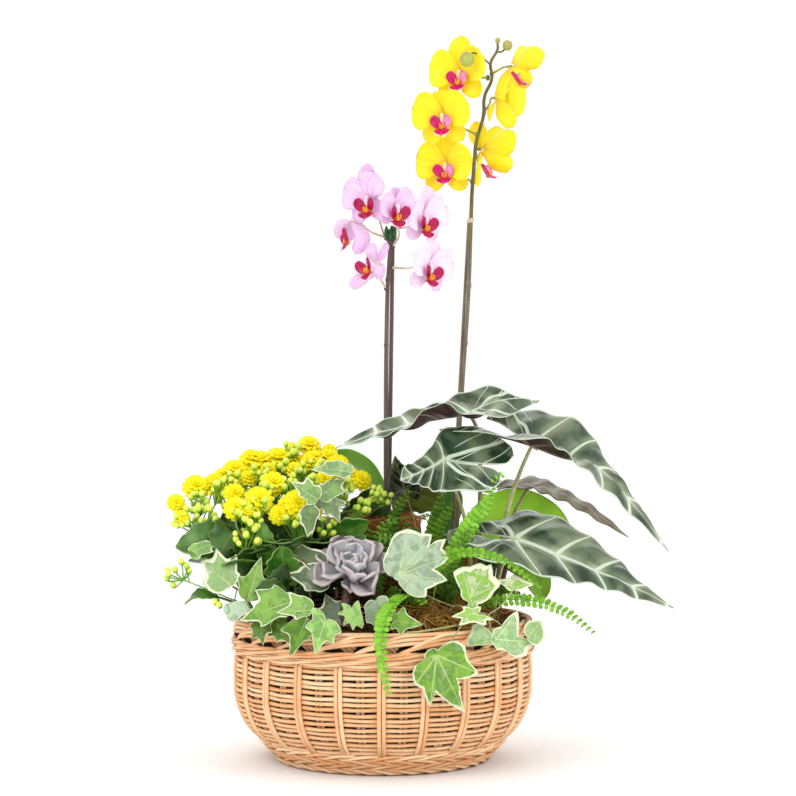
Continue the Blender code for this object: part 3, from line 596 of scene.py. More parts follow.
def wicker_finish(name, under, over):
    """Peeled willow, with painted shade where a rod's underside and top meet the rods next to it."""
    choice = settings("basket")
    finish = Finish(name, 0.52, Specular_IOR_Level=0.35)
    across, along = finish.across_along()
    streaks = finish.cloud(6.0, 4, finish.vector(across * 60.0, along * 3.0, finish.each() * 30.0))
    blotches = finish.cloud(55.0, 3)
    share = finish.each() * 0.75 + blotches.band(0.35, 0.75, 0.0, 0.35) + streaks.band(0.4, 0.7, -0.1, 0.2)
    willow = finish.blend(share.math('MULTIPLY', 1.0, clamp=True), choice.light, choice.dark)
    knots = finish.cloud(140.0, 1).band(0.68, 0.76, 1.0, 0.82)
    upward = finish.upward()
    # painted shade: rods darker on their undersides and tops, where they meet the rods above and below
    crevice = upward.band(-0.95, -0.45, under, 1.0).math('MINIMUM', upward.band(0.5, 0.95, 1.0, over))
    finish.paint(finish.shade(willow, knots * crevice))
    finish.relief(streaks + blotches * 0.5, 0.0005, 0.5)
    return finish.material


def twined_rods(rod, rows, rise, kink, outset, bulge):
    """Rods twined round the stakes: up and down by the rise, and in and out of the wall by the bulge."""
    angles = np.linspace(0, TURN, 264, endpoint=False)
    paths = []
    for height, count, lean, start in rows:
        for strand in range(count):
            turn = STAKE_PAIRS / 2 * (angles - FRONT) + TURN * strand / count + start
            level = height * MM + rise * lean * np.sin(turn) + kink * np.cos(2 * turn)
            level = np.maximum(level, rod * 0.5)
            paths.append(round_path(angles, wall_radius(level) + outset + bulge * np.cos(turn), level))
    return rods(paths, rod, closed=True)


def upright(pair, beside, inset, heights):
    """A stake's path: in from the wall's outside by the inset, and beside the middle of its pair."""
    radius = wall_radius(heights) - inset
    return round_path(FRONT + pair * PITCH + beside / radius, radius, heights)


def basket_base():
    """A flat weave of rings over and under the spokes."""
    angles = np.linspace(0, TURN, 132, endpoint=False)
    rings = []
    for row, radius in enumerate(BASE_RINGS):
        swing = 0.0010 * np.cos(STAKE_PAIRS / 2 * angles + (row % 2) * math.pi)
        rings.append(round_path(angles, radius * MM, 0.0042 + swing))
    spokes = []
    reach = np.linspace(0.006, 0.104, 12)
    for spoke in range(STAKE_PAIRS):
        angle = spoke * PITCH
        for offset in (-0.0019, 0.0019):
            spokes.append(np.stack((reach * math.cos(angle) - offset * math.sin(angle),
                                    reach * math.sin(angle) + offset * math.cos(angle),
                                    np.full(12, 0.0048)), axis=1))
    return joined([rods(rings, 0.0040, 6, closed=True), rods(spokes, 0.0034, 6)])


def basket_weaving(rod, rows):
    """Rods that pass behind each outer pair of stakes and in front of the inner pair between them."""
    angles = np.linspace(0, TURN, STAKE_PAIRS * 8, endpoint=False)
    swing = np.cos(STAKE_PAIRS * (angles - FRONT))
    paths = []
    for row in range(rows):
        height = (WEAVING_FOOT + (WEAVING_TOP - WEAVING_FOOT) * row / (rows - 1)) * MM
        wander = 0.0004 * np.sin(3 * angles + 2.1 * row) + 0.0003 * np.sin(7 * angles + 1.3 * row)
        paths.append(round_path(angles, wall_radius(height) - 0.0042 - 0.0019 * swing, height + wander))
    # thick where a rod passes behind the outer stakes, thin where it bows over the inner ones
    weavers = rods(paths, rod, closed=True, taper=1.07 + 0.15 * swing)
    inner = [upright(pair + 0.5, beside, 0.0060, np.linspace(0.018, 0.112, 20))
             for pair in range(STAKE_PAIRS) for beside in (-0.0022, 0.0022)]
    return joined([weavers, rods(inner, INNER_STAKE)])


def basket_stakes(stake):
    """The outer pairs of stakes, with a slight lean and gap of their own."""
    dice = random.Random(4)
    heights = np.linspace(STAKE_FOOT, STAKE_TOP, 26)
    inset = np.interp(heights, (STAKE_FOOT, 0.024, 0.106, STAKE_TOP), (0.0060, stake / 2, stake / 2, 0.0050))
    paths = []
    for pair in range(STAKE_PAIRS):
        lean = dice.uniform(-0.0012, 0.0012)
        drift = lean * np.sin(math.pi * (heights - STAKE_FOOT) / (STAKE_TOP - STAKE_FOOT))
        for side in (-1, 1):
            paths.append(upright(pair, side * stake * 0.54 + drift, inset, heights))
    return rods(paths, stake)


def basket_border(rod):
    """Each pair of stakes bent over, laid along the top past the next ones and tucked down inside."""
    dice = random.Random(9)
    share = np.linspace(0, 1, 34)
    paths = []
    for pair in range(STAKE_PAIRS):
        for strand in range(BORDER_STRANDS):
            offset = (strand - 1) * 0.0040
            late = dice.uniform(-0.03, 0.03)
            turn = np.interp(share, (0, 0.22, 0.80, 1.0), (0, 0.62 + late, 2.9, 3.35))
            rise = np.interp(share, (0, 0.10, 0.24, 0.42, 0.80, 0.92, 1.0),
                             (110, 117, 127, 134.5, 135.5, 128, 120))
            reach = np.interp(share, (0, 0.16, 0.35, 0.60, 0.80, 1.0),
                              (146, 147.5, 148.2, 145.5, 141.2, 139.8))
            lift = offset * np.interp(share, (0, 0.22, 0.42, 1.0), (0.0, 0.3, 1.0, 0.8))
            slide = offset * np.interp(share, (0, 0.22, 0.42, 1.0), (1.0, 0.9, 0.1, 0.6))
            turn, rise, reach = (np.convolve(np.pad(line, 2, 'edge'), np.ones(5) / 5, 'valid')
                                 for line in (turn, rise, reach))
            radius = reach * MM
            paths.append(round_path(FRONT + (pair + turn) * PITCH + slide / radius, radius, rise * MM + lift))
    return rods(paths, rod)


class PLANTING_OT_basket(bpy.types.Operator):
    """Weaves the basket: base, foot, stakes, walls, rim and braided border"""
    bl_idname = "planting.basket"
    bl_label = "Basket"

    def execute(self, context):
        choice = settings("basket")
        rod = choice.rod
        # the three wickers differ only in how deep their painted shade between rods is
        laid = wicker_finish("wicker", 0.5, 0.85)
        packed = wicker_finish("packed_wicker", 0.5, 0.68)
        twined = wicker_finish("twined_wicker", 0.42, 0.72)
        for piece, name, finish, node in (
                (basket_base(), "woven_base", laid, "basket_base"),
                (twined_rods(rod, FOOT_ROWS, 0.0024, 0.0005, -0.002, 0.0026), "woven_foot", twined,
                 "basket_foot_wale"),
                (basket_stakes(choice.stake), "upright_stakes", laid, "basket_stakes"),
                (basket_weaving(rod, choice.rows), "woven_wall", packed, "basket_weave"),
                (twined_rods(rod, RIM_ROWS, 0.0019, 0.0, 0.0002, 0.0016), "woven_rim", twined,
                 "basket_rim_wale"),
                (basket_border(rod), "braided_border", laid, "basket_border")):
            finished(piece, name, finish, "wicker", [node])
        return {'FINISHED'}


# ---------------------------------------------------------------- liner, soil, root balls and moss

SOIL_DOME = ((0, 168), (40, 166), (75, 159), (105, 147), (126, 131))  # radius and height
SOIL_RADIUS = SOIL_DOME[-1][0] * MM
ROOT_BALLS = {"pink": ((0, 28), 36, 238), "yellow": ((72, 64), 34, 200)}  # middle, radius and top
BALL_FOOT = 130
ROOT_HAIRS, MOSS_STRANDS, LOOSE_FIBRES = 340, 700, 520


def soil_height(radius):
    return np.interp(radius, [spot[0] * MM for spot in SOIL_DOME], [spot[1] * MM for spot in SOIL_DOME])


def lumps(places, scale, depth):
    """A rise and fall for each place."""
    return np.array([noise.fractal(Vector(place) * scale, 0.8, 2.0, 4) for place in places]) * depth


def strands(spots, dice, reach, bow, thickness):
    """Loose bent fibres that lie about the spots, each given as a place and the way out of the heap."""
    paths = []
    for place, out in spots:
        place, out = np.array(place), np.array(out) / np.linalg.norm(out)
        way = np.cross(out, np.array([dice.uniform(-1, 1) for _ in range(3)]))
        way /= np.linalg.norm(way)
        half = reach * dice.uniform(0.5, 1.0) / MM
        middle = (place + out * dice.uniform(0.0, bow)) / MM
        side = np.cross(out, way) * dice.uniform(-0.3, 0.3) * half
        start, end = middle - way * half - out * 2.5 + side, middle + way * half + side
        paths.append(smooth_path([start, middle, end], 3))
    return rods(paths, thickness, 4, taper=(0.5, 1.0, 0.5))


def soil_finish():
    finish = Finish("soil", 0.9, Specular_IOR_Level=0.15)
    crumbs = finish.cloud(260.0, 5)
    finish.paint(finish.blend(crumbs.band(0.42, 0.62), settings("fill").soil, tone(28, 22, 18)))
    finish.relief(crumbs, 0.002, 1.0)
    return finish.material


def fibre_finish(name, light, dark):
    finish = Finish(name, 0.8, Specular_IOR_Level=0.2)
    share = finish.each() * 0.7 + finish.cloud(120.0, 3).band(0.35, 0.65, 0.0, 0.4)
    finish.paint(finish.blend(share, light, dark))
    finish.relief(finish.cloud(500.0, 3), 0.0006, 0.8)
    return finish.material


def soil_mound():
    """The domed, lumpy top of the soil, level at its edge."""
    def mound(u, v):
        angle, radius = u * TURN, np.sin(v * math.pi / 2) * SOIL_RADIUS
        return radius * np.cos(angle), radius * np.sin(angle), soil_height(radius)
    top = grid(96, 40, mound)
    places = points_of(top)
    inward = SOIL_RADIUS - np.hypot(places[:, 0], places[:, 1])
    places[:, 2] += lumps(places, 60.0, 0.004) * np.clip(inward * 60, 0, 1)
    return applied(welded(put_points(top, places)), 'SOLIDIFY', thickness=0.004, offset=-1.0)


def root_ball(x, y, radius, height):
    """The lumpy pot-shaped body of a root ball, round at the top."""
    def wall(u, v):
        angle = u * TURN
        up = np.clip(v * 1.6, 0, 1)
        size = radius * np.clip((1 - v) * 2.65, 0, 1) ** 0.45
        rise = BALL_FOOT + (height - BALL_FOOT - 5) * up + 5 * np.clip((v - 0.6) * 2.5, 0, 1) ** 0.5
        return (x + size * np.cos(angle)) * MM, (y + size * np.sin(angle)) * MM, rise * MM
    body = grid(64, 40, wall)
    places = points_of(body)
    out = places - np.array((x, y, 0)) * MM
    out[:, 2] = 0
    return welded(put_points(body, places + out * lumps(places, 55.0, 0.10)[:, None]))


def root_hairs(x, y, radius, height, dice):
    """Coir fibres over the top and the wall of a root ball."""
    spots = []
    for _ in range(ROOT_HAIRS):
        angle, up = dice.uniform(0, TURN), dice.uniform(0, 1) ** 0.7
        on_top = dice.random() < 0.4
        size = radius * (dice.uniform(0, 1) ** 0.5 if on_top else 0.98)
        rise = height - 1.5 if on_top else BALL_FOOT + 20 + (height - BALL_FOOT - 24) * up
        place = (x + size * math.cos(angle), y + size * math.sin(angle), rise)
        normal = (0.2, -0.2, 1.0) if on_top else (math.cos(angle), math.sin(angle), 0.2)
        spots.append((np.array(place) * MM, normal))
    return strands(spots, dice, 0.015, 0.004, 0.0010)


def on_soil(angle, radius, above, normal):
    return (radius * math.cos(angle), radius * math.sin(angle), soil_height(radius) + above), normal


class PLANTING_OT_fill(bpy.types.Operator):
    """Fills the basket: liner, soil, the orchids' fibrous root balls, moss and loose fibres"""
    bl_idname = "planting.fill"
    bl_label = "Soil and moss"

    def execute(self, context):
        choice = settings("fill")
        dice = random.Random(3)
        liner = simple_finish("liner", 0.6, tone(52, 38, 28), tone(34, 26, 20), 60.0)
        painted(frame["nodes"]["basket_liner"], liner)
        finished(soil_mound(), "soil", soil_finish(), "soil", ["potting_soil"])

        coir = fibre_finish("coir", choice.coir, tone(84, 50, 26))
        coir_hair = fibre_finish("coir_hair", tone(240, 176, 98), tone(164, 96, 42))
        for name, ((x, y), radius, height) in ROOT_BALLS.items():
            pieces = [painted(root_ball(x, y, radius, height), coir),
                      painted(root_hairs(x, y, radius, height, dice), coir_hair)]
            finished(joined(pieces), f"{name}_root_ball", None, "root_ball", [f"{name}_orchid_root_ball"])

        moss = fibre_finish("moss", choice.moss, tone(150, 110, 48))
        spots = []
        for _ in range(MOSS_STRANDS):
            angle = math.radians(-52 + dice.gauss(0, 15))
            radius = dice.uniform(0.088, 0.127)
            spots.append(on_soil(angle, radius, dice.uniform(0.000, 0.011), (0.2, -0.3, 1.0)))
        finished(strands(spots, dice, 0.012, 0.004, 0.0011), "moss", moss, "moss", ["moss_pad"])

        spots = []
        for _ in range(LOOSE_FIBRES):
            angle, radius = dice.uniform(0, TURN), 0.124 * dice.uniform(0.05, 1) ** 0.5
            spots.append(on_soil(angle, radius, 0.001, (0.1, -0.1, 1.0)))
        litter = fibre_finish("litter", tone(190, 142, 72), tone(104, 74, 38))
        finished(strands(spots, dice, 0.013, 0.003, 0.0010), "loose_fibres", litter, "moss")
        return {'FINISHED'}


# ---------------------------------------------------------------- orchids

PINK_REACH, YELLOW_REACH = 0.027, 0.0305
PETAL_THICKNESS, LIP_THICKNESS = 0.00045, 0.0005

# Flower's middle, turn to the right, nod, roll, size, how far its left and right petals are raised and how
# long its top sepal is, and its stalk's way from the spike
PINK_FLOWERS = (
    ((-13, -4, 559), -30, 6, 1, 1.07, (6, 44, 1.18), ((6, 16, 515), (1, 24, 522))),
    ((11, -27, 550), 34, 10, 1, 0.82, (-10, 24, 0.8), ((10, 16, 511), (16, 4, 523))),
    ((39, -2, 540), 40, 5, -3, 1.07, (-6, 16, 1.1), ((9, 15, 529), (28, 14, 532))),
    ((44, -10, 491), 40, 5, -6, 1.08, (0, 6, 0.9), ((8, 16, 490), (25, 8, 489))),
    ((-7, -10, 491), -60, 0, 0, 1.0, (0, 0, 1), ((3, 16, 469), (-3, 6, 480))),
    ((-31, 6, 535), -78, 0, 0, 1.0, (0, 0, 1), ((3, 16, 520), (-13, 10, 526))),
)
YELLOW_FLOWERS = (
    ((79, 36, 689), -24, 0, 0, 1.1, (-4, 10, 1.1), ((107, 57, 686), (92, 50, 686))),
    ((61, 20, 644), -18, 8, 2, 1.09, (2, 2, 0.76), ((96, 60, 628), (76, 42, 636))),
    ((65, 36, 596), -22, 5, 0, 1.08, (2, -8, 0.86), ((91, 61, 580), (76, 52, 588))),
    ((102, 62, 613), 70, 0, 0, 1.0, (0, 0, 1), ((93, 60, 598), (96, 59, 605))),
    ((133, 60, 698), 66, 0, 0, 1.0, (0, 0, 1), ((111, 57, 690), (122, 56, 696))),
    ((118, 66, 666), 100, 0, 0, 1.0, (0, 0, 1), ((103, 58, 650), (109, 60, 660))),
)
# Flowers seen from the side: line, half width and lean of each sepal and petal, then the lip's place, turn,
# nod and roll
SIDE_FLOWERS = {
    ("pink", 5): ((
        (((-9, -12, 493), (-12, -18, 503), (-9, -20, 513)), 6, 15),
        (((-7, -8, 492), (-2, -6, 503), (4, -6, 514)), 6, 40),
        (((-9, -12, 488), (-21, -20, 477), (-32, -26, 469)), 7.5, 25),
        (((-6, -8, 496), (-2, -10, 488), (-5, -12, 477)), 7.5, 35),
        (((-9, -4, 491), (-17, 16, 486), (-24, 28, 482)), 9, -10),
    ), ((-12, -18, 498), -48, 8, 14)),
    ("pink", 6): ((
        (((-31, 4, 535), (-20, -6, 520), (-27, -10, 502)), 8.5, 20),
        (((-32, 6, 536), (-40, 10, 531), (-43, 12, 518)), 8, 25),
        (((-31, 8, 536), (-34, 24, 526), (-38, 34, 515)), 9, 20),
        (((-31, 6, 536), (-26, 8, 545), (-23, 10, 553)), 6, 30),
        (((-30, 8, 535), (-23, 22, 532), (-18, 30, 526)), 7, 40),
    ), ((-28, -2, 526), -84, 0, 16)),
    ("yellow", 4): ((
        (((102, 62, 614), (97, 66, 627), (94, 70, 643)), 10, 20),
        (((103, 60, 614), (119, 44, 619), (135, 34, 618)), 15, 20),
        (((103, 66, 614), (121, 84, 625), (134, 100, 631)), 15, -20),
        (((101, 60, 610), (116, 46, 601), (131, 38, 592)), 11, -15),
        (((100, 64, 611), (100, 66, 595), (97, 66, 575)), 6, 55),
    ), ((94, 46, 589), 72, -40, 0)),
    ("yellow", 5): ((
        (((133, 60, 698), (147, 42, 705), (161, 30, 698)), 13, 15),
        (((134, 66, 700), (150, 86, 713), (161, 100, 710)), 12, -15),
        (((130, 60, 697), (140, 44, 685), (150, 36, 677)), 10, -10),
        (((130, 62, 696), (124, 64, 680), (119, 64, 662)), 7, 30),
        (((130, 68, 693), (139, 74, 670), (137, 74, 648)), 11, 20),
    ), ((126, 42, 681), 66, -45, 0)),
    ("yellow", 6): ((
        (((118, 64, 666), (124, 52, 650), (132, 44, 634)), 9.5, 0),
        (((119, 68, 667), (132, 80, 667), (144, 84, 659)), 9, 10),
        (((117, 66, 665), (112, 66, 654), (109, 66, 642)), 5, 60),
        (((118, 72, 666), (129, 92, 676), (142, 104, 673)), 10, 0),
        (((118, 68, 668), (123, 72, 678), (127, 74, 688)), 7, 10),
    ), ((123, 98, 668), 150, 0, 0)),
}
PINK_SPIKE = ((3, 16, 224), (3, 16, 300), (3, 16, 380), (4, 16, 457), (6, 16, 498), (9, 15, 532))
PINK_STAKE = ((5.5, 25, 222), (9.8, 25, 527))
YELLOW_SPIKE = ((76, 78, 186), (77, 78, 300), (82, 76, 377), (88, 70, 468), (90, 64, 541), (91, 61, 570),
                (93, 60, 597), (95, 60, 621), (103, 59, 647), (103, 58, 667), (112, 57, 685), (109, 57, 701),
                (117, 56, 714), (117, 56, 721))
YELLOW_STAKE = ((69, 84, 184), (88, 72, 541))
YELLOW_BUDS = (((84, 8, 698), 7.4, ((110, 57, 699), (99, 26, 703), (90, 12, 705))),
               ((127, 56, 719), 5.2, ((117, 56, 712), (122, 56, 713))),
               ((117, 56, 724), 2.8, ((117, 56, 720),)))  # middle, half width and stalk
CLIP_SIZE, CLIP_MIDDLE = (0.0052, 0.0098, 0.0105), (0.0074, 0.0204, 0.523)
FADED_FLOWERS = (("pink", 3), ("pink", 4))  # the oldest flowers, whose petals have paled
ORCHID_LEAVES = {
    "pink_orchid_leaf_1": (((-4, 48, 226), (-4, 56, 252), (-16, 68, 279), (-36, 84, 292), (-58, 98, 294)),
                           (0.3, -0.75, 0.5), 0.15, (92, 142, 36)),
    "pink_orchid_leaf_2": (((16, 48, 226), (24, 40, 252), (42, 28, 260), (62, 18, 250)), (0.1, -0.4, 0.9),
                           0.24, (106, 122, 50)),
    # this leaf's colour is brightened with painted light, for the light that shines through it from behind
    "yellow_orchid_leaf_1": (((94, 80, 186), (108, 92, 224), (138, 98, 236), (170, 94, 222), (190, 90, 196)),
                             (0.1, 0.3, 0.95), 0.19, (170, 250, 60)),
    "yellow_orchid_leaf_2": (((98, 49, 186), (122, 34, 200), (147, 20, 188), (162, 10, 156)), (0.3, 0.5, 0.8),
                             0.19, (120, 168, 40)),
    "yellow_orchid_leaf_3": (((54, 85, 186), (62, 96, 226), (78, 104, 262)), (1.0, 0.2, 0.1),
                             0.19, (60, 104, 30)),
}  # midrib, spread, half width and colour


def petal_finish(name, pale, veined, throat):
    finish = Finish(name, 0.42, Specular_IOR_Level=0.35, Sheen_Weight=0.15)
    across, along = finish.across_along()
    veins = finish.cloud(1.0, 2, finish.vector(across * 26.0, along * 1.2, finish.each() * 9.0))
    tone_share = veins.band(0.42, 0.66, 0.0, 0.5) + along.band(0.55, 1.0, 0.0, 0.25) + finish.each() * 0.25
    base = finish.blend(along.band(0.03, 0.30, 0.0, 1.0), throat, pale)
    finish.paint(finish.blend(tone_share, base, veined))
    finish.relief(veins, 0.0004, 0.4)
    finish.shader.inputs["Subsurface Weight"].default_value = 0.12
    finish.shader.inputs["Subsurface Radius"].default_value = (0.004, 0.003, 0.003)
    return finish.material


def lip_finish(name, edge, ground, streak):
    """A lobe with darker veins, an orange foot and a paler edge."""
    finish = Finish(name, 0.38, Specular_IOR_Level=0.4)
    across, along = finish.across_along()
    veins = finish.cloud(1.0, 2, finish.vector(across * 12.0, along * 2.0, finish.each() * 5.0))
    rich = finish.blend(veins.band(0.4, 0.6, 0.0, 1.0), ground, streak)
    rich = finish.blend(along.band(0.0, 0.22, 0.8, 0.0), rich, tone(232, 110, 30))
    finish.paint(finish.blend(along.band(0.80, 1.0, 0.0, 0.5), rich, edge))
    return finish.material


def simple_finish(name, roughness, first, second, scale, **values):
    finish = Finish(name, roughness, **values)
    spots = finish.cloud(scale, 3)
    finish.paint(finish.blend(spots.band(0.38, 0.64, 0.0, 1.0), first, second))
    finish.relief(spots, 0.0004, 0.4)
    return finish.material


def petal_outline(v, claw):
    """The half width at the share v of a petal's length, as a share of its widest."""
    wide = 0.56
    rise = claw + (1 - claw) * np.sin(math.pi / 2 * np.clip(v / wide, 0, 1)) ** 1.15
    fall = np.sqrt(np.clip(1 - (np.clip(v - wide, 0, 1) / (1 - wide)) ** 2.2, 0, 1))
    return np.where(v < wide, rise, fall)


def tepal(size, half_width, angle, cup, reflex, claw, ruffle, dice):
    """One sepal or petal: out from the middle at an angle, leaning forward by cup, its tip turned back."""
    bearing = math.radians(angle)
    out = np.array((math.cos(bearing), 0.0, math.sin(bearing)))
    side = np.array((-math.sin(bearing), 0.0, math.cos(bearing)))
    phase = dice.uniform(0, TURN)

    def shape(u, v):
        s = 2 * u - 1
        width = half_width * petal_outline(v, claw)
        reach = size * (v * math.cos(cup))
        lift = size * (math.sin(cup) * np.sin(v * 1.7) - reflex * v ** 3)
        lift = lift + half_width * 0.22 * (s ** 2) * np.sin(math.pi * v)
        lift = lift + ruffle * size * np.sin(3.0 * v * math.pi + phase) * s * np.abs(s)
        lift = lift - size * 0.025 * np.exp(-(s * 5) ** 2) * np.sin(math.pi * v)
        place = np.outer(reach, out) + np.outer(s * width, side)
        place[:, 1] -= lift
        return place.T

    return sheet(12, 14, shape, PETAL_THICKNESS)


def ball(place, size, segments=10, rings=7):
    """A small rounded body of three half widths."""
    deselect()
    bpy.ops.mesh.primitive_uv_sphere_add(segments=segments, ring_count=rings, radius=1.0)
    body = bpy.context.object
    return put_points(body, points_of(body) * np.array(size) + np.array(place))


def hung_tepal(points, half_width, lean, dice):
    """A sepal or petal laid along a bent line, its blade turned by lean from facing the front."""
    ahead = np.array(points[-1], dtype=float) - np.array(points[0], dtype=float)
    level = np.array((-ahead[2], 0.0, ahead[0])) / math.hypot(ahead[0], ahead[2])
    across = level * math.cos(math.radians(lean)) + np.array((0.0, math.sin(math.radians(lean)), 0.0))
    midrib = Midrib(points, across)
    half = half_width * MM / midrib.length
    phase = dice.uniform(0, TURN)

    def shape(u, v):
        s = 2 * u - 1
        width = half * petal_outline(v, 0.22)
        lift = -0.35 * s ** 2 * width + 0.03 * np.sin(9 * v + phase) * s * np.abs(s)
        return midrib.point(v, s * width, lift).T

    return sheet(12, 14, shape, PETAL_THICKNESS)


def orchid_lip(radius, lips, throat, column, open_to_front):
    """Two upright cupped side lobes, a short front lobe with its two tendrils, a callus and the column."""
    pieces = []
    for side, lip in zip((-1, 1), lips):
        def ear(u, v, side=side):
            s = 2 * u - 1
            width = 0.235 * np.sin(math.pi * np.clip(0.07 + 0.86 * v, 0, 1)) ** 0.6
            across = 0.07 + 0.19 * np.sin(v * 1.7) + s * width * 0.86
            ahead = 0.24 + 0.14 * v + s * width * 0.46 + 0.07 * s * s
            height = -0.52 + 0.53 * v - 0.05 * s * s
            return (side * across * radius, -ahead * radius, height * radius)
        pieces.append(painted(sheet(10, 10, ear, LIP_THICKNESS), lip))

    def front(u, v):
        s = 2 * u - 1
        width = np.interp(v, (0, 0.2, 0.5, 0.8, 1.0), (0.10, 0.16, 0.33, 0.26, 0.05))
        ahead = 0.26 + 0.26 * v
        height = -0.50 - 0.27 * np.sin(v * 1.6) + 0.34 * np.abs(s) * width
        return (s * width * radius, -ahead * radius, height * radius)
    pieces.append(painted(sheet(10, 8, front, LIP_THICKNESS), lips[0]))

    bends = ((20, -450, -740), (150, -530, -760), (290, -540, -700), (330, -470, -600))
    tendrils = [smooth_path(np.array(bends) * (side * radius, radius, radius), 5) for side in (-1, 1)]
    pieces.append(painted(rods(tendrils, 0.0009, 6, taper=(1.0, 0.5)), column))
    for place, size in (((0.0, -0.30, -0.47), (0.12, 0.12, 0.09)), ((0.06, -0.38, -0.40), (0.05, 0.07, 0.10)),
                        ((-0.06, -0.38, -0.40), (0.05, 0.07, 0.10))):
        pieces.append(painted(ball(np.array(place) * radius, np.array(size) * radius), throat))
    if open_to_front:
        hood = ball(np.array((0.0, -0.22, -0.12)) * radius, np.array((0.085, 0.17, 0.22)) * radius)
        pieces.append(painted(hood, column))
    return pieces


def turned_flower(middle, turn, nod, roll):
    return (Matrix.Translation(Vector(middle) * MM) @ Matrix.Rotation(math.radians(turn), 4, 'Z')
            @ Matrix.Rotation(math.radians(nod), 4, 'X') @ Matrix.Rotation(math.radians(-roll), 4, 'Y'))


def open_flower(radius, size, raised, petal, dice):
    """The three sepals and two broad petals of a flower that looks to -Y."""
    left, right, top = raised
    wobble = [dice.uniform(-4, 4) for _ in range(5)]
    reach = radius * size
    pieces = []
    for angle, share, half_width, cup in ((90 + wobble[0], top, 0.36, 8), (232 + wobble[1], 1.0, 0.32, 6),
                                          (308 + wobble[2], 1.0, 0.32, 6)):
        pieces.append(tepal(share * reach, half_width * reach, angle, math.radians(cup), 0.05, 0.35, 0.02,
                            dice))
    for angle in (168 - left + wobble[3], 12 + right + wobble[4]):
        made = tepal(reach, 0.58 * reach, angle, math.radians(20), 0.10, 0.20, 0.035, dice)
        pieces.append(put_points(made, points_of(made) - np.array((0.0, 0.035 * reach, 0.0))))
    return [painted(piece, petal) for piece in pieces]


def swelling(place, size):
    """A node on a stem, where a bract clasps it."""
    return ball(np.array(place) * MM, np.array(size) * MM, 10, 6)


class PLANTING_OT_orchid_flowers(bpy.types.Operator):
    """Opens the flowers of both moth orchids"""
    bl_idname = "planting.orchid_flowers"
    bl_label = "Orchid flowers"

    def execute(self, context):
        choice = settings("orchids")
        throat = simple_finish("orchid_throat", 0.4, tone(250, 186, 40), tone(214, 84, 30), 900.0)
        faded = petal_finish("faded_pink_petal", tone(250, 230, 249), tone(236, 194, 238),
                             tone(248, 226, 240))
        pink = (petal_finish("pink_petal", choice.pink, choice.pink_vein, tone(248, 226, 240)),
                (lip_finish("pink_lip", tone(222, 30, 140), choice.magenta, tone(150, 0, 56)),) * 2, throat,
                simple_finish("pink_column", 0.4, tone(250, 236, 240), tone(226, 180, 206), 500.0))
        yellow = (petal_finish("yellow_petal", choice.yellow, tone(250, 212, 16), tone(238, 206, 44)),
                  (lip_finish("yellow_lip", tone(236, 60, 170), tone(222, 20, 124), tone(180, 6, 70)),
                   lip_finish("yellow_lip_back", tone(206, 60, 140), tone(246, 176, 214),
                              tone(224, 110, 170))),
                  throat,
                  simple_finish("yellow_column", 0.4, tone(252, 232, 236), tone(240, 200, 120), 500.0))
        for family, radius, flowers, finishes in (("pink", PINK_REACH, PINK_FLOWERS, pink),
                                                  ("yellow", YELLOW_REACH, YELLOW_FLOWERS, yellow)):
            petal, lips, throat, column = finishes
            for number, (middle, turn, nod, roll, size, raised, _) in enumerate(flowers, 1):
                dice = random.Random(number)
                tepals, lip_place = SIDE_FLOWERS.get((family, number), ((), (middle, turn, nod, roll)))
                skin = faded if (family, number) in FADED_FLOWERS else petal
                petals = [painted(hung_tepal(*row, dice), skin) for row in tepals]
                if not petals:
                    petals = [joined(open_flower(radius, size, raised, skin, dice))]
                    petals[0].data.transform(turned_flower(middle, turn, nod, roll))
                lip = joined(orchid_lip(radius * (0.85 if family == "yellow" else 1.0), lips, throat, column,
                                        not tepals))
                lip.data.transform(turned_flower(*lip_place))
                finished(joined([*petals, lip]), f"{family}_orchid_bloom_{number}", None, f"{family}_petals",
                         [f"{family}_flower_{number}"])
        return {'FINISHED'}


def jointed(points):
    """The points with two more on each stretch, so that a curve through them bends only at the joints."""
    nodes = np.array(points, dtype=float)
    path = [nodes[0]]
    for start, end in zip(nodes[:-1], nodes[1:]):
        path += [start + (end - start) * 0.22, start + (end - start) * 0.78]
    return [*path, nodes[-1]]


def spike_finish(name, low, high, change):
    """A stem that is dark and woody below and green above the height of the change."""
    finish = Finish(name, 0.45, Specular_IOR_Level=0.4)
    split = finish.node('ShaderNodeSeparateXYZ')
    finish.feed(split.inputs[0], finish.place())
    height = Pattern(finish, split.outputs[2])
    streaks = finish.cloud(1.0, 3, finish.vector(Pattern(finish, split.outputs[0]) * 700.0,
                                                 Pattern(finish, split.outputs[1]) * 700.0, height * 24.0))
    base = finish.blend(height.band(change - 0.05, change + 0.04), low, high)
    finish.paint(finish.shade(base, streaks.band(0.3, 0.7, 0.65, 1.25)))
    finish.relief(streaks, 0.0003, 0.5)
    return finish.material


def spike_clip():
    """The clip that holds the pink spike to its stake, with two lugs in front."""
    deselect()
    bpy.ops.mesh.primitive_cylinder_add(vertices=28, radius=1.0, depth=1.0, end_fill_type='NOTHING')
    clip = bpy.context.object
    put_points(clip, points_of(clip) * np.array(CLIP_SIZE) + np.array(CLIP_MIDDLE))
    applied(clip, 'SOLIDIFY', thickness=0.0011, offset=1.0)
    applied(clip, 'BEVEL', width=0.0004, segments=2, limit_method='ANGLE')
    lugs = [ball((across, 0.0110, 0.525), (0.0022, 0.0035, 0.0068)) for across in (0.0034, 0.0114)]
    return joined([clip, *lugs])


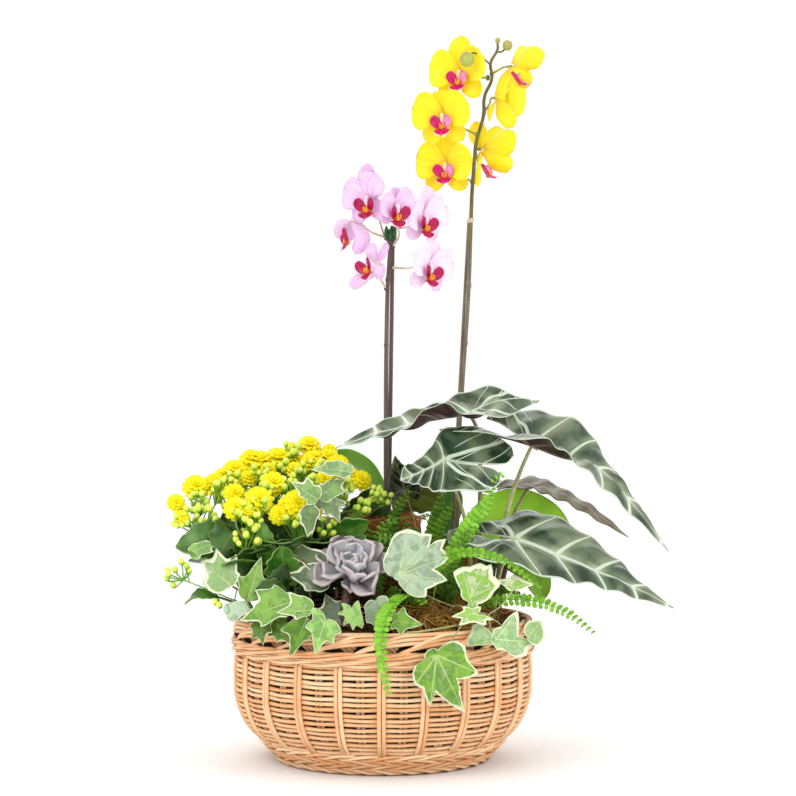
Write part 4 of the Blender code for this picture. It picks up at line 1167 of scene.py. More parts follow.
class PLANTING_OT_orchid_stems(bpy.types.Operator):
    """Raises the flower spikes with their stalks, buds and nodes, the stakes and the clip"""
    bl_idname = "planting.orchid_stems"
    bl_label = "Orchid stems"

    def execute(self, context):
        woody = spike_finish("woody_stem", tone(98, 82, 74), tone(96, 78, 72), 0.60)
        green = spike_finish("green_stem", tone(124, 110, 92), tone(108, 102, 50), 0.52)
        stalk_finish = simple_finish("flower_stalk", 0.45, tone(224, 206, 178), tone(202, 178, 142), 300.0)
        green_stalk = simple_finish("green_stalk", 0.45, tone(170, 168, 74), tone(132, 136, 54), 300.0)
        bud_finish = simple_finish("bud", 0.4, tone(164, 184, 70), tone(174, 150, 98), 120.0)
        for family, spike, flowers, thickness, main, thin in (
                ("pink", PINK_SPIKE, PINK_FLOWERS, 0.0048, woody, stalk_finish),
                ("yellow", YELLOW_SPIKE, YELLOW_FLOWERS, 0.0042, green, green_stalk)):
            stem = rods([smooth_path(jointed(spike), 6)], thickness, 10, taper=(1.1, 1.0, 0.85, 0.6))
            pieces = [painted(stem, main)]
            for middle, turn, nod, *_, stalk in flowers:
                look = (Matrix.Rotation(math.radians(turn), 3, 'Z')
                        @ Matrix.Rotation(math.radians(nod), 3, 'X'))
                behind = Vector(middle) + look @ Vector((0, 1.5, 0))
                further = Vector(middle) + look @ Vector((0, 7.0, 0))
                pieces.append(painted(rods([smooth_path([*stalk, further, behind], 6)], 0.0023, 8,
                                           taper=(1.15, 0.85, 0.95, 1.5)), thin))
                pieces.append(painted(swelling(stalk[0], (2.3, 2.3, 3.0)), main))
            for low in np.arange(290, 480, 62):
                at = smooth_path(spike, 12)
                near = at[np.argmin(np.abs(at[:, 2] - low * MM))] / MM
                pieces.append(painted(swelling(near, (2.7, 2.7, 4.2)), main))
            if family == "yellow":
                pieces.append(painted(swelling((90, 66, 541), (3.6, 5.0, 4.6)), stalk_finish))
                for middle, size, start in YELLOW_BUDS:
                    bud = ball(np.array(middle) * MM, np.array((size, size, size * 1.06)) * MM, 20, 12)
                    pieces.append(painted(bud, bud_finish))
                    pieces.append(painted(rods([smooth_path([*start, middle], 5)], 0.0019, 8), main))
            finished(joined(pieces), f"{family}_stem", None, "flower_spike", [f"{family}_orchid_spike"])

        for family, ends, thickness, shade in (("pink", PINK_STAKE, 0.0044, tone(100, 82, 78)),
                                               ("yellow", YELLOW_STAKE, 0.0032, tone(128, 112, 98))):
            stake_finish = spike_finish(f"{family}_stake", shade, shade, 0.9)
            finished(rods([smooth_path(ends, 12)], thickness, 10), f"{family}_support", stake_finish, "stake",
                     [f"{family}_orchid_stake"])

        clip_finish = simple_finish("clip", 0.35, tone(34, 100, 44), tone(20, 74, 34), 200.0)
        finished(spike_clip(), "spike_clip", clip_finish, "clip", ["pink_orchid_clip"])
        return {'FINISHED'}


def strap_leaf(points, across, half_width):
    """A thick strap leaf, folded along its midrib, with a blunt tip."""
    midrib = Midrib(points, across)

    def shape(u, v):
        s = 2 * u - 1
        width = half_width * np.interp(v, (0, 0.12, 0.3, 0.52, 0.74, 0.88, 0.96, 1.0),
                                       (0.25, 0.55, 0.85, 1.0, 0.94, 0.70, 0.42, 0.04))
        lift = 0.20 * np.abs(s) * width + 0.012 * np.sin(7 * v) * s
        return midrib.point(v, s * width, lift).T

    return applied(sheet(16, 28, shape, 0.0019), 'SUBSURF', levels=1, render_levels=1)


def strap_finish(name, chart):
    finish = Finish(name, 0.42, Specular_IOR_Level=0.35)
    across, along = finish.across_along()
    centre = abs(across - 0.5)
    lines = finish.cloud(1.0, 3, finish.vector(across * 40.0, along * 3.0, 0.0))
    green = tone(*chart)
    pale = tuple(min(value * 1.7 + 0.02, 1.0) for value in green)
    share = lines.band(0.35, 0.7, 0.0, 0.5) + centre.band(0.0, 0.03, 0.45, 0.0)
    painted_green = finish.blend(share, green, pale)
    finish.paint(finish.shade(painted_green, finish.cloud(30.0, 2).band(0.3, 0.7, 0.9, 1.2)))
    finish.relief(lines + centre.band(0.0, 0.04, 0.0, 1.5), 0.0005, 0.5)
    return finish.material


class PLANTING_OT_orchid_leaves(bpy.types.Operator):
    """Grows the orchids' strap leaves from their root balls"""
    bl_idname = "planting.orchid_leaves"
    bl_label = "Orchid leaves"

    def execute(self, context):
        for name, (points, across, half_width, chart) in ORCHID_LEAVES.items():
            leaf = strap_leaf(points, across, half_width)
            finished(leaf, name.replace("_orchid", ""), strap_finish(name, chart), "orchid_leaf", [name])
        return {'FINISHED'}


# ---------------------------------------------------------------- alocasia

# Each row of a half blade, from the lobe behind the stalk to the tip: inner edge u, w and outer edge u, w
ARROW_ROWS = np.array((
    (-0.36, 0.150, -0.36, 0.150), (-0.28, 0.100, -0.27, 0.230), (-0.14, 0.045, -0.12, 0.280),
    (0.00, 0.0, 0.06, 0.285), (0.20, 0.0, 0.26, 0.250), (0.45, 0.0, 0.50, 0.190), (0.72, 0.0, 0.75, 0.100),
    (1.00, 0.0, 1.00, 0.002)))
VEIN_STEP = 0.235

# Midrib from the stalk to the tip, then for each half its outer edge from the lobe behind the stalk
# forwards, and the edge of the notch
ALOCASIA_BLADES = {
    "alocasia_leaf_1": (
        ((87, 4, 343), (60, -6, 338), (28, -20, 333), (-8, -34, 324), (-47, -46, 310)),
        (((158, 24, 356), (134, 38, 362), (109, 44, 370), (81, 42, 364),
          (58, 32, 354), (29, 14, 347), (-7, -12, 333)), ((138, 22, 356), (108, 16, 350))),
        (((156, 10, 355), (138, -18, 348), (113, -32, 341), (80, -36, 345),
          (54, -40, 354), (21, -46, 330), (-11, -46, 320)), ((138, 6, 359), (107, -2, 354)))),
    "alocasia_leaf_2": (
        ((149, 18, 310), (180, 18, 298), (213, 10, 290), (246, 0, 257), (285, -10, 206)),
        (((105, 44, 337), (120, 60, 342), (141, 66, 346), (168, 62, 343),
          (202, 48, 333), (226, 32, 296), (254, 14, 255)), ((119, 36, 332), (134, 24, 322))),
        (((56, -8, 327), (78, -22, 326), (116, -30, 321), (161, -30, 318),
          (179, -28, 306), (207, -28, 281), (243, -22, 247)), ((87, 0, 324), (122, 8, 318)))),
    "alocasia_leaf_3": (
        ((59, -44, 299), (51, -62, 295), (41, -82, 291), (28, -104, 286), (17, -126, 283)),
        (((130, -14, 302), (127, -8, 312), (104, -6, 324), (63, -18, 330),
          (48, -36, 312), (33, -66, 299), (21, -98, 295)), ((121, -19, 294), (86, -32, 295))),
        (((115, -52, 285), (112, -62, 275), (92, -74, 270), (66, -84, 271),
          (50, -96, 271), (37, -104, 277), (25, -116, 280)), ((107, -47, 291), (83, -46, 295)))),
    "alocasia_leaf_4": (
        ((129, -52, 222), (163, -62, 209), (203, -68, 193), (244, -71, 176), (283, -72, 156)),
        (((76, -20, 230), (93, -8, 233), (117, -4, 238), (150, -6, 246),
          (184, -16, 235), (222, -34, 208), (255, -56, 177)), ((90, -26, 227), (112, -40, 224))),
        (((64, -54, 230), (65, -68, 218), (84, -86, 209), (126, -98, 200),
          (166, -100, 187), (203, -92, 180), (244, -82, 167)), ((76, -46, 231), (104, -49, 222)))),
    "alocasia_leaf_5": (
        ((150, 84, 265), (170, 84, 263), (194, 82, 254), (224, 76, 236), (253, 70, 214)),
        (((118, 100, 263), (126, 118, 268), (140, 124, 270), (160, 122, 274),
          (176, 114, 268), (200, 104, 254), (228, 88, 236)), ((127, 98, 266), (139, 90, 267))),
        (((118, 84, 262), (124, 62, 265), (136, 52, 266), (152, 50, 265),
          (167, 52, 259), (191, 58, 249), (222, 62, 231)), ((127, 82, 264), (139, 84, 265)))),
    "alocasia_leaf_6": (
        ((22, -6, 267), (20, -8, 276), (17, -10, 284), (14, -13, 292), (12, -17, 302)),
        (((10, -2, 257), (7, 6, 258), (6, 10, 263), (6, 8, 271),
          (7, 4, 281), (8, -2, 289), (10, -9, 296)), ((13, -2, 258), (17, -4, 262))),
        (((34, -10, 258), (37, -18, 263), (38, -22, 270), (34, -22, 278),
          (28, -20, 285), (22, -18, 291), (16, -18, 297)), ((30, -8, 259), (26, -7, 263)))),
}
ALOCASIA_SHEATHS = (((104, -6, 146), (108, -8, 180), (113, -12, 206)),
                    ((114, -2, 146), (118, -6, 176), (125, -6, 200)),
                    ((98, 4, 146), (104, 2, 184), (106, 0, 212)))
ALOCASIA_STALKS = {
    "alocasia_leaf_1": ((93, 15, 140), (98, 24, 250), (96, 18, 320)),
    "alocasia_leaf_2": ((112, 2, 140), (124, 12, 240)),
    "alocasia_leaf_3": ((90, -16, 140), (82, -34, 235)),
    "alocasia_leaf_4": ((108, -20, 140), (116, -34, 190)),
    "alocasia_leaf_5": ((116, 52, 140), (130, 66, 225)),
    "alocasia_leaf_6": ((42, -18, 150), (34, -10, 225)),
}


def facing_up(piece, look):
    """The piece turned inside out if its faces mostly look away from the given way."""
    normals = np.empty(len(piece.data.polygons) * 3)
    piece.data.polygons.foreach_get("normal", normals)
    if (normals.reshape(-1, 3) @ np.array(look)).mean() < 0:
        edited(piece, lambda: bpy.ops.mesh.flip_normals())
    return piece


def along_rows(path):
    """Places on a path at even steps of its rows."""
    def at(v):
        spot = v * (len(path) - 1)
        return np.stack([np.interp(spot, np.arange(len(path)), path[:, axis]) for axis in range(3)], axis=-1)
    return at


def arrow_half(midrib, outer, notch, side, length_of):
    """Half of an arrow-shaped blade between its midrib and its outer edge, puckered between the veins."""
    tip = midrib[-1]
    edge_path = smooth_path([*outer, tip], 8)
    inner_path = np.vstack((smooth_path([outer[0], *notch, midrib[0]], 8)[:-1], smooth_path(midrib, 8)))
    edge_at, inner_at = along_rows(edge_path), along_rows(inner_path)
    index = np.linspace(0, 1, len(ARROW_ROWS))
    values = {}

    def shape(u, v):
        across = u if side < 0 else 1 - u
        inner_u, inner_w, outer_u, outer_w = (np.interp(v, index, ARROW_ROWS[:, k]) for k in range(4))
        along = inner_u + (outer_u - inner_u) * across
        width = inner_w + (outer_w - inner_w) * across
        beat = (along - width * 0.52 - width * width * 0.9) / VEIN_STEP * TURN
        inner, edge = inner_at(v), edge_at(v)
        out = edge - inner
        ahead = edge_at(np.clip(v + 0.02, 0, 1)) + inner_at(np.clip(v + 0.02, 0, 1)) - edge - inner
        normal = np.cross(ahead, out) * side
        normal /= np.linalg.norm(normal, axis=1)[:, None] + 1e-12
        fade = np.clip((1.0 - along) * 2.5, 0, 1)
        lift = -0.016 * np.cos(beat) * np.sin(math.pi * across) * fade
        lift = lift + 0.022 * np.sin(math.pi * across) * fade
        lift = lift + 0.012 * np.sin(beat + side) * across ** 3 * fade
        places = inner + out * across[:, None] + normal * (lift * length_of)[:, None]
        values["along"], values["width"] = along, side * width
        values["edge"] = np.where(along < 0, np.maximum(across, 1 - across), across)
        return places.T

    half = grid(16, 72, shape)
    mapped(half, values["along"], values["width"])
    return marked(half, "edge", values["edge"])


def alocasia_veins(along, off, wide):
    """Midrib, side veins and lobe veins, and how close any side vein is."""
    beat = (along - off * 0.52 - off * off * 0.9) / VEIN_STEP
    near = abs((beat + 0.5).math('FRACT') - 0.5)
    taper = off.band(0.0, 0.26, wide, wide * 0.35)
    lateral = (near / taper).band(0.5, 1.0, 1.0, 0.0) * along.band(-0.03, 0.0) * beat.band(-0.4, -0.3)
    spread = along.band(0.0, 1.0, wide * 0.27, wide * 0.07)
    midrib = (off / spread).band(0.5, 1.0, 1.0, 0.0) * along.band(-0.03, 0.0)
    lobe = abs(along * 0.86 + off * 0.50 + off * off * 1.2)
    lobe = (lobe / wide * 5.0).band(0.6, 1.2, 1.0, 0.0) * along.band(-0.02, 0.0, 1.0, 0.0)
    twig = abs(((off * 1.1 + along * 1.9) / 0.19).math('FRACT') - 0.5).band(0.02, 0.06, 0.8, 0.0)
    lobe = lobe.math('MAXIMUM', twig * along.band(-0.05, -0.02, 1.0, 0.0))
    return midrib.math('MAXIMUM', lateral).math('MAXIMUM', lobe), near


def alocasia_finish(name, light):
    choice = settings("foliage")
    finish = Finish(name, 0.30, Specular_IOR_Level=0.5)
    along, across = finish.across_along()
    off = abs(across)
    edge = finish.mark("edge")
    veins, near = alocasia_veins(along, off, 0.080)
    rim = edge.band(0.955, 0.975)
    mesh = finish.cells(150.0).band(0.0, 0.2, 0.22, 0.0)
    halo = near.band(0.04, 0.30, 0.5, 0.0) * off.band(0.0, 0.05, 1.0, 0.7) + off.band(0.01, 0.06, 0.35, 0.0)
    # painted reflection: soft pale grey-green patches of sheen across the dark glossy blade
    patches = finish.cloud(26.0, 3).band(0.42, 0.60, 0.0, 0.34)
    ground = finish.blend(finish.cloud(38.0, 3).band(0.35, 0.7), choice.alocasia, tone(28, 46, 28))
    ground = finish.blend(halo + patches + mesh, ground, tone(154, 168, 130))
    finish.paint(finish.shade(finish.blend(veins.math('MAXIMUM', rim) * 0.96, ground, choice.vein), light))
    finish.gloss(finish.cloud(50.0, 2).band(0.3, 0.7, 0.22, 0.36))
    finish.relief(veins * -1.0 + finish.cloud(160.0, 2) * 0.3, 0.0008, 0.6)
    return finish.material


def alocasia_back_finish():
    finish = Finish("alocasia_back", 0.5, Specular_IOR_Level=0.35)
    along, across = finish.across_along()
    veins, _ = alocasia_veins(along, abs(across), 0.09)
    ground = finish.blend(finish.cloud(60.0, 3).band(0.35, 0.7), tone(64, 36, 40), tone(46, 38, 30))
    finish.paint(finish.blend(veins * 0.6, ground, tone(150, 132, 112)))
    finish.relief(veins, 0.0006, 0.6)
    return finish.material


class PLANTING_OT_alocasia(bpy.types.Operator):
    """Grows the alocasia's veined arrow-shaped leaves on their stalks"""
    bl_idname = "planting.alocasia"
    bl_label = "Alocasia"

    def execute(self, context):
        face, back = alocasia_finish("alocasia_face", 1.0), alocasia_back_finish()
        shaded = alocasia_finish("alocasia_shaded_face", 0.22)
        dull = simple_finish("alocasia_dull_face", 0.45, tone(122, 116, 82), tone(92, 78, 66), 60.0)
        olive = simple_finish("alocasia_stalk", 0.4, tone(196, 198, 140), tone(168, 164, 108), 120.0)
        reddish = simple_finish("alocasia_red_stalk", 0.4, tone(170, 134, 98), tone(160, 142, 92), 120.0)
        sheath = simple_finish("alocasia_sheath", 0.6, tone(84, 58, 44), tone(52, 40, 30), 90.0)
        for number, (name, (midrib, far, near)) in enumerate(ALOCASIA_BLADES.items(), 1):
            long = np.linalg.norm(np.array(midrib[-1]) - np.array(midrib[0])) * MM
            blade = joined([arrow_half(midrib, *far, 1, long), arrow_half(midrib, *near, -1, long)])
            painted(blade, {5: dull, 6: shaded}.get(number, face))
            blade.data.materials.append(back)
            welded(blade, outward=False)
            facing_up(blade, (0.0, -0.4, 1.0) if number != 6 else (-0.3, -1.0, 0.2))
            applied(blade, 'SOLIDIFY', thickness=0.0007, offset=0.0, material_offset=1)
            heading = (np.array(midrib[1]) - np.array(midrib[0])) * 0.22
            start = np.array(midrib[0]) - np.array((0, 0, 1.2))
            stalk = [*ALOCASIA_STALKS[name], start, start + heading]
            petiole = rods([smooth_path(stalk, 8)], min(0.0052, long * 0.045), 10,
                           taper=(1.15, 0.95, 0.8, 0.65, 0.3))
            painted(petiole, reddish if number in (1, 6) else olive)
            if number == 4:
                petiole = joined([petiole, painted(rods([smooth_path(path, 6) for path in ALOCASIA_SHEATHS],
                                                        0.0085, 8, taper=(1.1, 1.0, 0.6)), sheath)])
            finished(joined([blade, petiole]), f"alocasia_{number}", None, "alocasia_leaf", [name])
        return {'FINISHED'}


# ---------------------------------------------------------------- ivy

# Vines, then each leaf: stalk end, tip, the way it faces, its other lobes in degrees and shares of the
# middle one's reach, depth of the bays between them, greyness, lightness and width of the pale margin.
# The lightness is painted light and shade: low for leaves that lie in shade, high for lit ones.
IVY_VINES = {
    "left": ((-108, -50, 148), (-122, -60, 164), (-144, -68, 176), (-160, -64, 188), (-175, -60, 204)),
    "front_left": ((-70, -88, 148), (-76, -102, 158), (-86, -114, 162), (-92, -118, 160)),
    "dark": ((-64, -62, 148), (-70, -76, 170), (-74, -84, 190)),
    "top": ((-44, -40, 148), (-48, -46, 200), (-53, -52, 240), (-55, -60, 268), (-46, -64, 284)),
    "front": ((8, -84, 148), (6, -104, 160), (-2, -118, 158), (-16, -128, 158), (-30, -132, 158)),
    "right": ((60, -82, 148), (70, -104, 162), (84, -122, 160), (100, -126, 156)),
}
IVY_RUNNER = ((15, -120, 143), (24, -140, 141), (47, -136, 143), (70, -126, 146))
IVY_LEAVES = {
    "left": (
        ((-185, -60, 210), (-159, -62, 223), (-0.25, -0.9, 0.35),
         ((-65, 0.40), (-27, 0.76), (18, 0.60), (47, 0.29)), 0.45, 0.25, 1.12, 0.25),
        ((-149, -84, 182), (-164, -68, 216), (-0.3, -0.9, 0.3),
         ((-81, 0.38), (-40, 0.76), (27, 1.10), (61, 0.66)), 0.42, 0.35, 1.05, 0.6),
        ((-128, -96, 171), (-116, -87, 209), (0.1, -0.97, 0.2),
         ((-68, 0.30), (-39, 0.63), (49, 0.55), (79, 0.29)), 0.4, 0.1, 1.0, 0.1),
        ((-147, -92, 153), (-129, -94, 166), (-0.3, -0.9, 0.3),
         ((-72, 0.57), (-25, 1.06), (76, 0.51)), 0.3, 0.95, 1.25, 0.2)),
    "front_left": (
        ((-89, -126, 167), (-138, -124, 151), (-0.2, -0.84, 0.5),
         ((-124, 0.19), (-71, 0.49), (-40, 0.69), (30, 0.69), (65, 0.32)), 0.42, 0.1, 1.0, 0.15),
        ((-69, -136, 161), (-100, -136, 161), (0, -0.86, 0.51),
         ((-69, 0.53), (-45, 0.93), (41, 0.53), (74, 0.21)), 0.4, 0.15, 1.05, 0.3),
        ((-54, -148, 150), (-63, -156, 123), (-0.1, -0.95, 0.3),
         ((-124, 0.68), (-66, 0.65), (44, 0.75), (77, 0.65)), 0.4, 0.22, 1.3, 0.1),
        ((-72, -140, 150), (-88, -139, 116), (-0.4, -0.9, 0.15),
         ((-111, 0.38), (-49, 0.75), (42, 0.44)), 0.4, 0, 0.72, 0.05),
        ((-45, -104, 148), (-55, -94, 174), (0, -0.95, 0.3),
         ((-100, 0.45), (-45, 0.80), (40, 0.72), (95, 0.50)), 0.3, 0.7, 0.48, 0.25),
        ((-114, -118, 148), (-113, -130, 128), (-0.3, -0.92, 0.2),
         ((-70, 0.55), (-35, 0.80), (40, 0.75), (80, 0.50)), 0.35, 0, 0.5, 0.05),
        ((-100, -120, 147), (-87, -134, 130), (-0.2, -0.95, 0.2),
         ((-60, 0.60), (-30, 0.75), (35, 0.85), (90, 0.45)), 0.35, 0, 0.6, 0.05)),
    "dark": (
        ((-60, -90, 198), (-103, -72, 219), (-0.2, -0.91, 0.35),
         ((-38, 0.38), (-20, 0.68), (15, 0.34), (102, 0.22)), 0.35, 0.5, 0.40, 0.35),
        ((-55, -98, 183), (-95, -90, 194), (-0.1, -0.93, 0.36),
         ((-18, 0.71), (40, 0.49), (70, 0.26)), 0.35, 0.5, 0.36, 0.35)),
    "top": (
        ((-34, -66, 288), (-72, -54, 295), (-0.11, -0.75, 0.65),
         ((-93, 0.22), (-38, 0.43), (-19, 0.70), (30, 0.51), (94, 0.22)), 0.35, 0.45, 1.02, 0.2),
        ((-65, -84, 264), (-89, -77, 280), (-0.2, -0.91, 0.35),
         ((-70, 0.45), (-33, 0.77), (27, 0.55), (75, 0.35)), 0.4, 0.3, 0.95, 0.3),
        ((-59, -72, 266), (-35, -60, 283), (0.2, -0.91, 0.35),
         ((-75, 0.35), (-26, 0.8), (22, 0.66), (55, 0.36)), 0.35, 0.3, 0.95, 0.25),
        ((-52, -66, 260), (-40, -62, 237), (0.1, -0.91, 0.3),
         ((-90, 0.72), (-40, 0.62), (54, 0.72), (100, 0.3)), 0.4, 0.45, 0.9, 0.35),
        ((-68, -86, 253), (-73, -88, 226), (-0.3, -0.93, 0.1),
         ((-60, 0.5), (-30, 0.66), (14, 0.84), (60, 0.4)), 0.3, 0.35, 0.62, 0.3)),
    "front": (
        ((-28, -140, 160), (-27, -145, 143), (0, -0.95, 0.3),
         ((-131, 0.79), (-87, 0.86), (-37, 0.91), (30, 1.10), (150, 0.73)), 0.5, 0.22, 1.28, 0.1),
        ((-6, -133, 167), (-4, -139, 143), (0, -0.97, 0.25),
         ((-76, 0.48), (-32, 0.82), (29, 0.83), (116, 0.53)), 0.25, 0.85, 0.85, 0.2),
        ((15, -138, 151), (38, -136, 148), (0.1, -0.91, 0.4),
         ((-123, 0.48), (-76, 0.63), (76, 0.69), (131, 0.47)), 0.42, 0.05, 0.98, 0.2)),
    "right": (
        ((16, -118, 193), (64, -114, 211), (0, -0.98, 0.22),
         ((-120, 0.11), (-97, 0.26), (-78, 0.49), (-61, 0.65), (-49, 0.58), (-34, 0.74), (-27, 0.90),
          (-11, 0.65), (-6, 0.86), (11, 0.94), (17, 1.11), (22, 0.94), (23, 0.77), (30, 0.97),
          (42, 0.86), (58, 0.87), (75, 0.76), (89, 0.55), (96, 0.49)), 0, 0.92, 1.0, 0.2),
        ((83, -116, 171), (94, -102, 204), (0.1, -0.93, 0.36),
         ((-166, 0.32), (-140, 0.38), (-115, 0.27), (-87, 0.40), (-58, 0.64), (-47, 0.89), (-28, 0.84),
          (-15, 1.08), (-10, 0.97), (15, 0.82), (31, 0.83), (51, 0.76), (58, 0.54),
          (69, 0.30)), 0, 0.05, 1.2, 0.6),
        ((126, -106, 179), (127, -90, 191), (0, -0.6, 0.8),
         ((-94, 0.48), (-77, 1.02), (61, 1.07), (100, 0.44)), 0.3, 0.1, 1.35, 0.85),
        ((86, -130, 157), (64, -131, 156), (0, -0.76, 0.65),
         ((-136, 0.49), (-43, 0.63), (40, 0.91), (130, 0.85), (158, 0.93)), 0.5, 0.1, 1.35, 0.7),
        ((104, -136, 133), (78, -129, 127), (-0.31, -0.92, 0.25),
         ((-100, 0.21), (-75, 0.36), (-62, 0.72), (-48, 0.90), (-30, 0.82), (-14, 0.95), (8, 0.50),
          (33, 0.14)), 0, 0.55, 1.3, 0.4),
        ((107, -137, 134), (147, -122, 130), (0.36, -0.88, 0.31),
         ((-53, 0.30), (-44, 0.55), (-26, 0.77), (-12, 0.80), (7, 0.74), (11, 0.58), (32, 0.66),
          (51, 0.87), (68, 0.30), (125, 0.16)), 0, 0.5, 1.3, 0.4),
        ((139, -124, 136), (155, -106, 150), (0.6, -0.76, 0.25),
         ((-26, 0.80), (41, 0.53)), 0.2, 0.4, 1.3, 0.4),
        ((51, -158, 122), (77, -161, 68), (0, -1, 0.05),
         ((-99, 0.21), (-98, 0.06), (-90, 0.36), (-79, 0.47), (-62, 0.57), (-48, 0.56), (-33, 0.81),
          (-28, 0.57), (-20, 0.65), (-12, 0.76), (4, 0.76), (15, 0.49), (32, 0.64), (41, 0.71),
          (50, 0.54), (62, 0.46), (80, 0.46), (91, 0.42), (103, 0.36), (120, 0.19),
          (137, 0.08)), 0, 0.05, 1.0, 0.22)),
}


def ivy_leaf(size, lobes, sinus, dice):
    """A lobed ivy leaf, flat on XY with its stalk at the origin and its middle lobe along +X."""
    tips = sorted([(-180, 0.12), (0, 1.0), (180, 0.12), *lobes])
    angles = np.array([tip[0] for tip in tips], dtype=float)
    reaches = np.array([tip[1] for tip in tips], dtype=float)
    peaks = angles[1:-1][(reaches[1:-1] > reaches[:-2]) & (reaches[1:-1] >= reaches[2:])]
    curl, fold = dice.uniform(0.04, 0.14), dice.uniform(0.05, 0.14)
    ripple = dice.uniform(0, TURN)
    gaps = len(tips) - 1
    values = {}

    def shape(u, v):
        spot = np.clip(u * gaps, 0, gaps - 1e-9)
        gap = spot.astype(int)
        t = spot - gap
        first, last = gap == 0, gap == gaps - 1
        wide = angles[gap + 1] - angles[gap]
        drop = np.where(wide > 90, 1.5, 1.0)
        t_tip = np.where(first, t ** drop, np.where(last, 1 - (1 - t) ** drop, t))
        degrees = angles[gap] + wide * t
        angle = np.radians(degrees)
        reach = reaches[gap] + (reaches[gap + 1] - reaches[gap]) * t_tip
        bay = sinus * np.minimum(1.0, wide / 50.0) * np.sin(math.pi * t) ** 0.85
        reach = reach * np.where(first | last, 1.0, 1 - bay) * v
        toward = np.radians(peaks[np.abs(degrees[:, None] - peaks[None, :]).argmin(axis=1)])
        x, y = reach * np.cos(angle), reach * np.sin(angle)
        swell = np.abs(np.sin((angle - toward) * 2.2))
        lift = fold * np.abs(y) - curl * reach ** 2 * 1.6 + 0.025 * np.sin(4 * angle + ripple) * v ** 2
        lift = lift + 0.05 * swell * v * v
        values["ahead"] = reach * np.cos(angle - toward)
        values["off"] = np.abs(reach * np.sin(angle - toward))
        values["edge"] = v
        return x * size, y * size, lift * size

    leaf = grid(max(gaps * 4, 44), 7, shape)
    mapped(leaf, values["ahead"], values["off"])
    marked(leaf, "edge", values["edge"])
    return leaf


def ivy_finish():
    choice = settings("foliage")
    finish = Finish("ivy_leaf", 0.42, Specular_IOR_Level=0.4)
    ahead, off = finish.across_along()
    edge, grey, light, cream = (finish.mark(name) for name in ("edge", "grey", "light", "cream"))
    veins = (off / ahead.band(0.0, 1.0, 0.022, 0.008)).band(0.5, 1.0, 1.0, 0.0)
    beat = abs(((ahead - off * 0.8) / 0.20).math('FRACT') - 0.5).band(0.02, 0.09, 0.30, 0.0)
    veins = veins.math('MAXIMUM', beat)
    blotch = finish.cloud(90.0, 3, distortion=0.8)
    green = finish.blend(grey, choice.ivy, tone(170, 188, 162))
    deep = finish.blend(grey, tone(88, 138, 20), tone(134, 154, 128))
    ground = finish.blend(blotch.band(0.44, 0.58), green, deep)
    ground = finish.blend(veins * 0.5, ground, tone(206, 222, 150))
    # painted light and shade: each leaf made lighter or darker by its own 'light' mark
    ground = finish.shade(ground, light)
    wander = finish.cloud(130.0, 3) + finish.cloud(420.0, 2) * 0.3
    rim = (edge + wander * 0.16 + cream * 0.24).band(1.07, 1.10)
    flecks = (blotch + cream * 0.16).band(0.56, 0.78) * cream * 0.9
    finish.paint(finish.blend(rim.math('MAXIMUM', flecks) * 0.92, ground, choice.cream))
    finish.relief(veins * -0.8 + finish.cloud(220.0, 2) * 0.4, 0.0005, 0.6)
    return finish.material


class PLANTING_OT_ivy(bpy.types.Operator):
    """Trails the cream-edged ivy through the planting and over the rim"""
    bl_idname = "planting.ivy"
    bl_label = "Ivy"

    def execute(self, context):
        leaf_finish = ivy_finish()
        stem_finish = simple_finish("ivy_stem", 0.5, tone(164, 158, 110), tone(142, 108, 84), 90.0)
        runner_finish = simple_finish("ivy_runner", 0.5, tone(172, 176, 116), tone(150, 150, 96), 90.0)
        for number, (name, leaves) in enumerate(IVY_LEAVES.items()):
            dice = random.Random(20 + number)
            path = smooth_path(IVY_VINES[name], 8)
            stalks, pieces = [], []
            for junction, tip, face, lobes, sinus, grey, light, cream in leaves:
                junction, tip = Vector(junction) * MM, Vector(tip) * MM
                leaf = ivy_leaf((tip - junction).length, lobes, sinus, dice)
                for mark, value in (("grey", grey), ("light", light), ("cream", cream)):
                    marked(leaf, mark, value)
                applied(welded(leaf, outward=False), 'SOLIDIFY', thickness=0.0005, offset=0.0)
                leaf.data.transform(facing(junction, tip - junction, face))
                pieces.append(painted(leaf, leaf_finish))
                start = path[np.argmin(np.linalg.norm(path - np.array(junction), axis=1))]
                middle = (start + np.array(junction)) / 2 - np.array((0, 0, 0.004))
                inside = np.array(junction + (tip - junction) * 0.03)
                stalks.append(smooth_path([start / MM, middle / MM, inside / MM], 4))
            pieces.append(painted(rods([path], 0.0023, 8, taper=(1.1, 0.7)), stem_finish))
            if name == "front":
                runner = rods([smooth_path(IVY_RUNNER, 8)], 0.0026, 8, taper=(1.0, 0.6))
                pieces.append(painted(runner, runner_finish))
            pieces.append(painted(rods(stalks, 0.0013, 6), runner_finish if name == "right" else stem_finish))
            finished(joined(pieces), f"ivy_{name}", None, "ivy", [f"ivy_sprig_{name}"])
        return {'FINISHED'}


# ---------------------------------------------------------------- fern

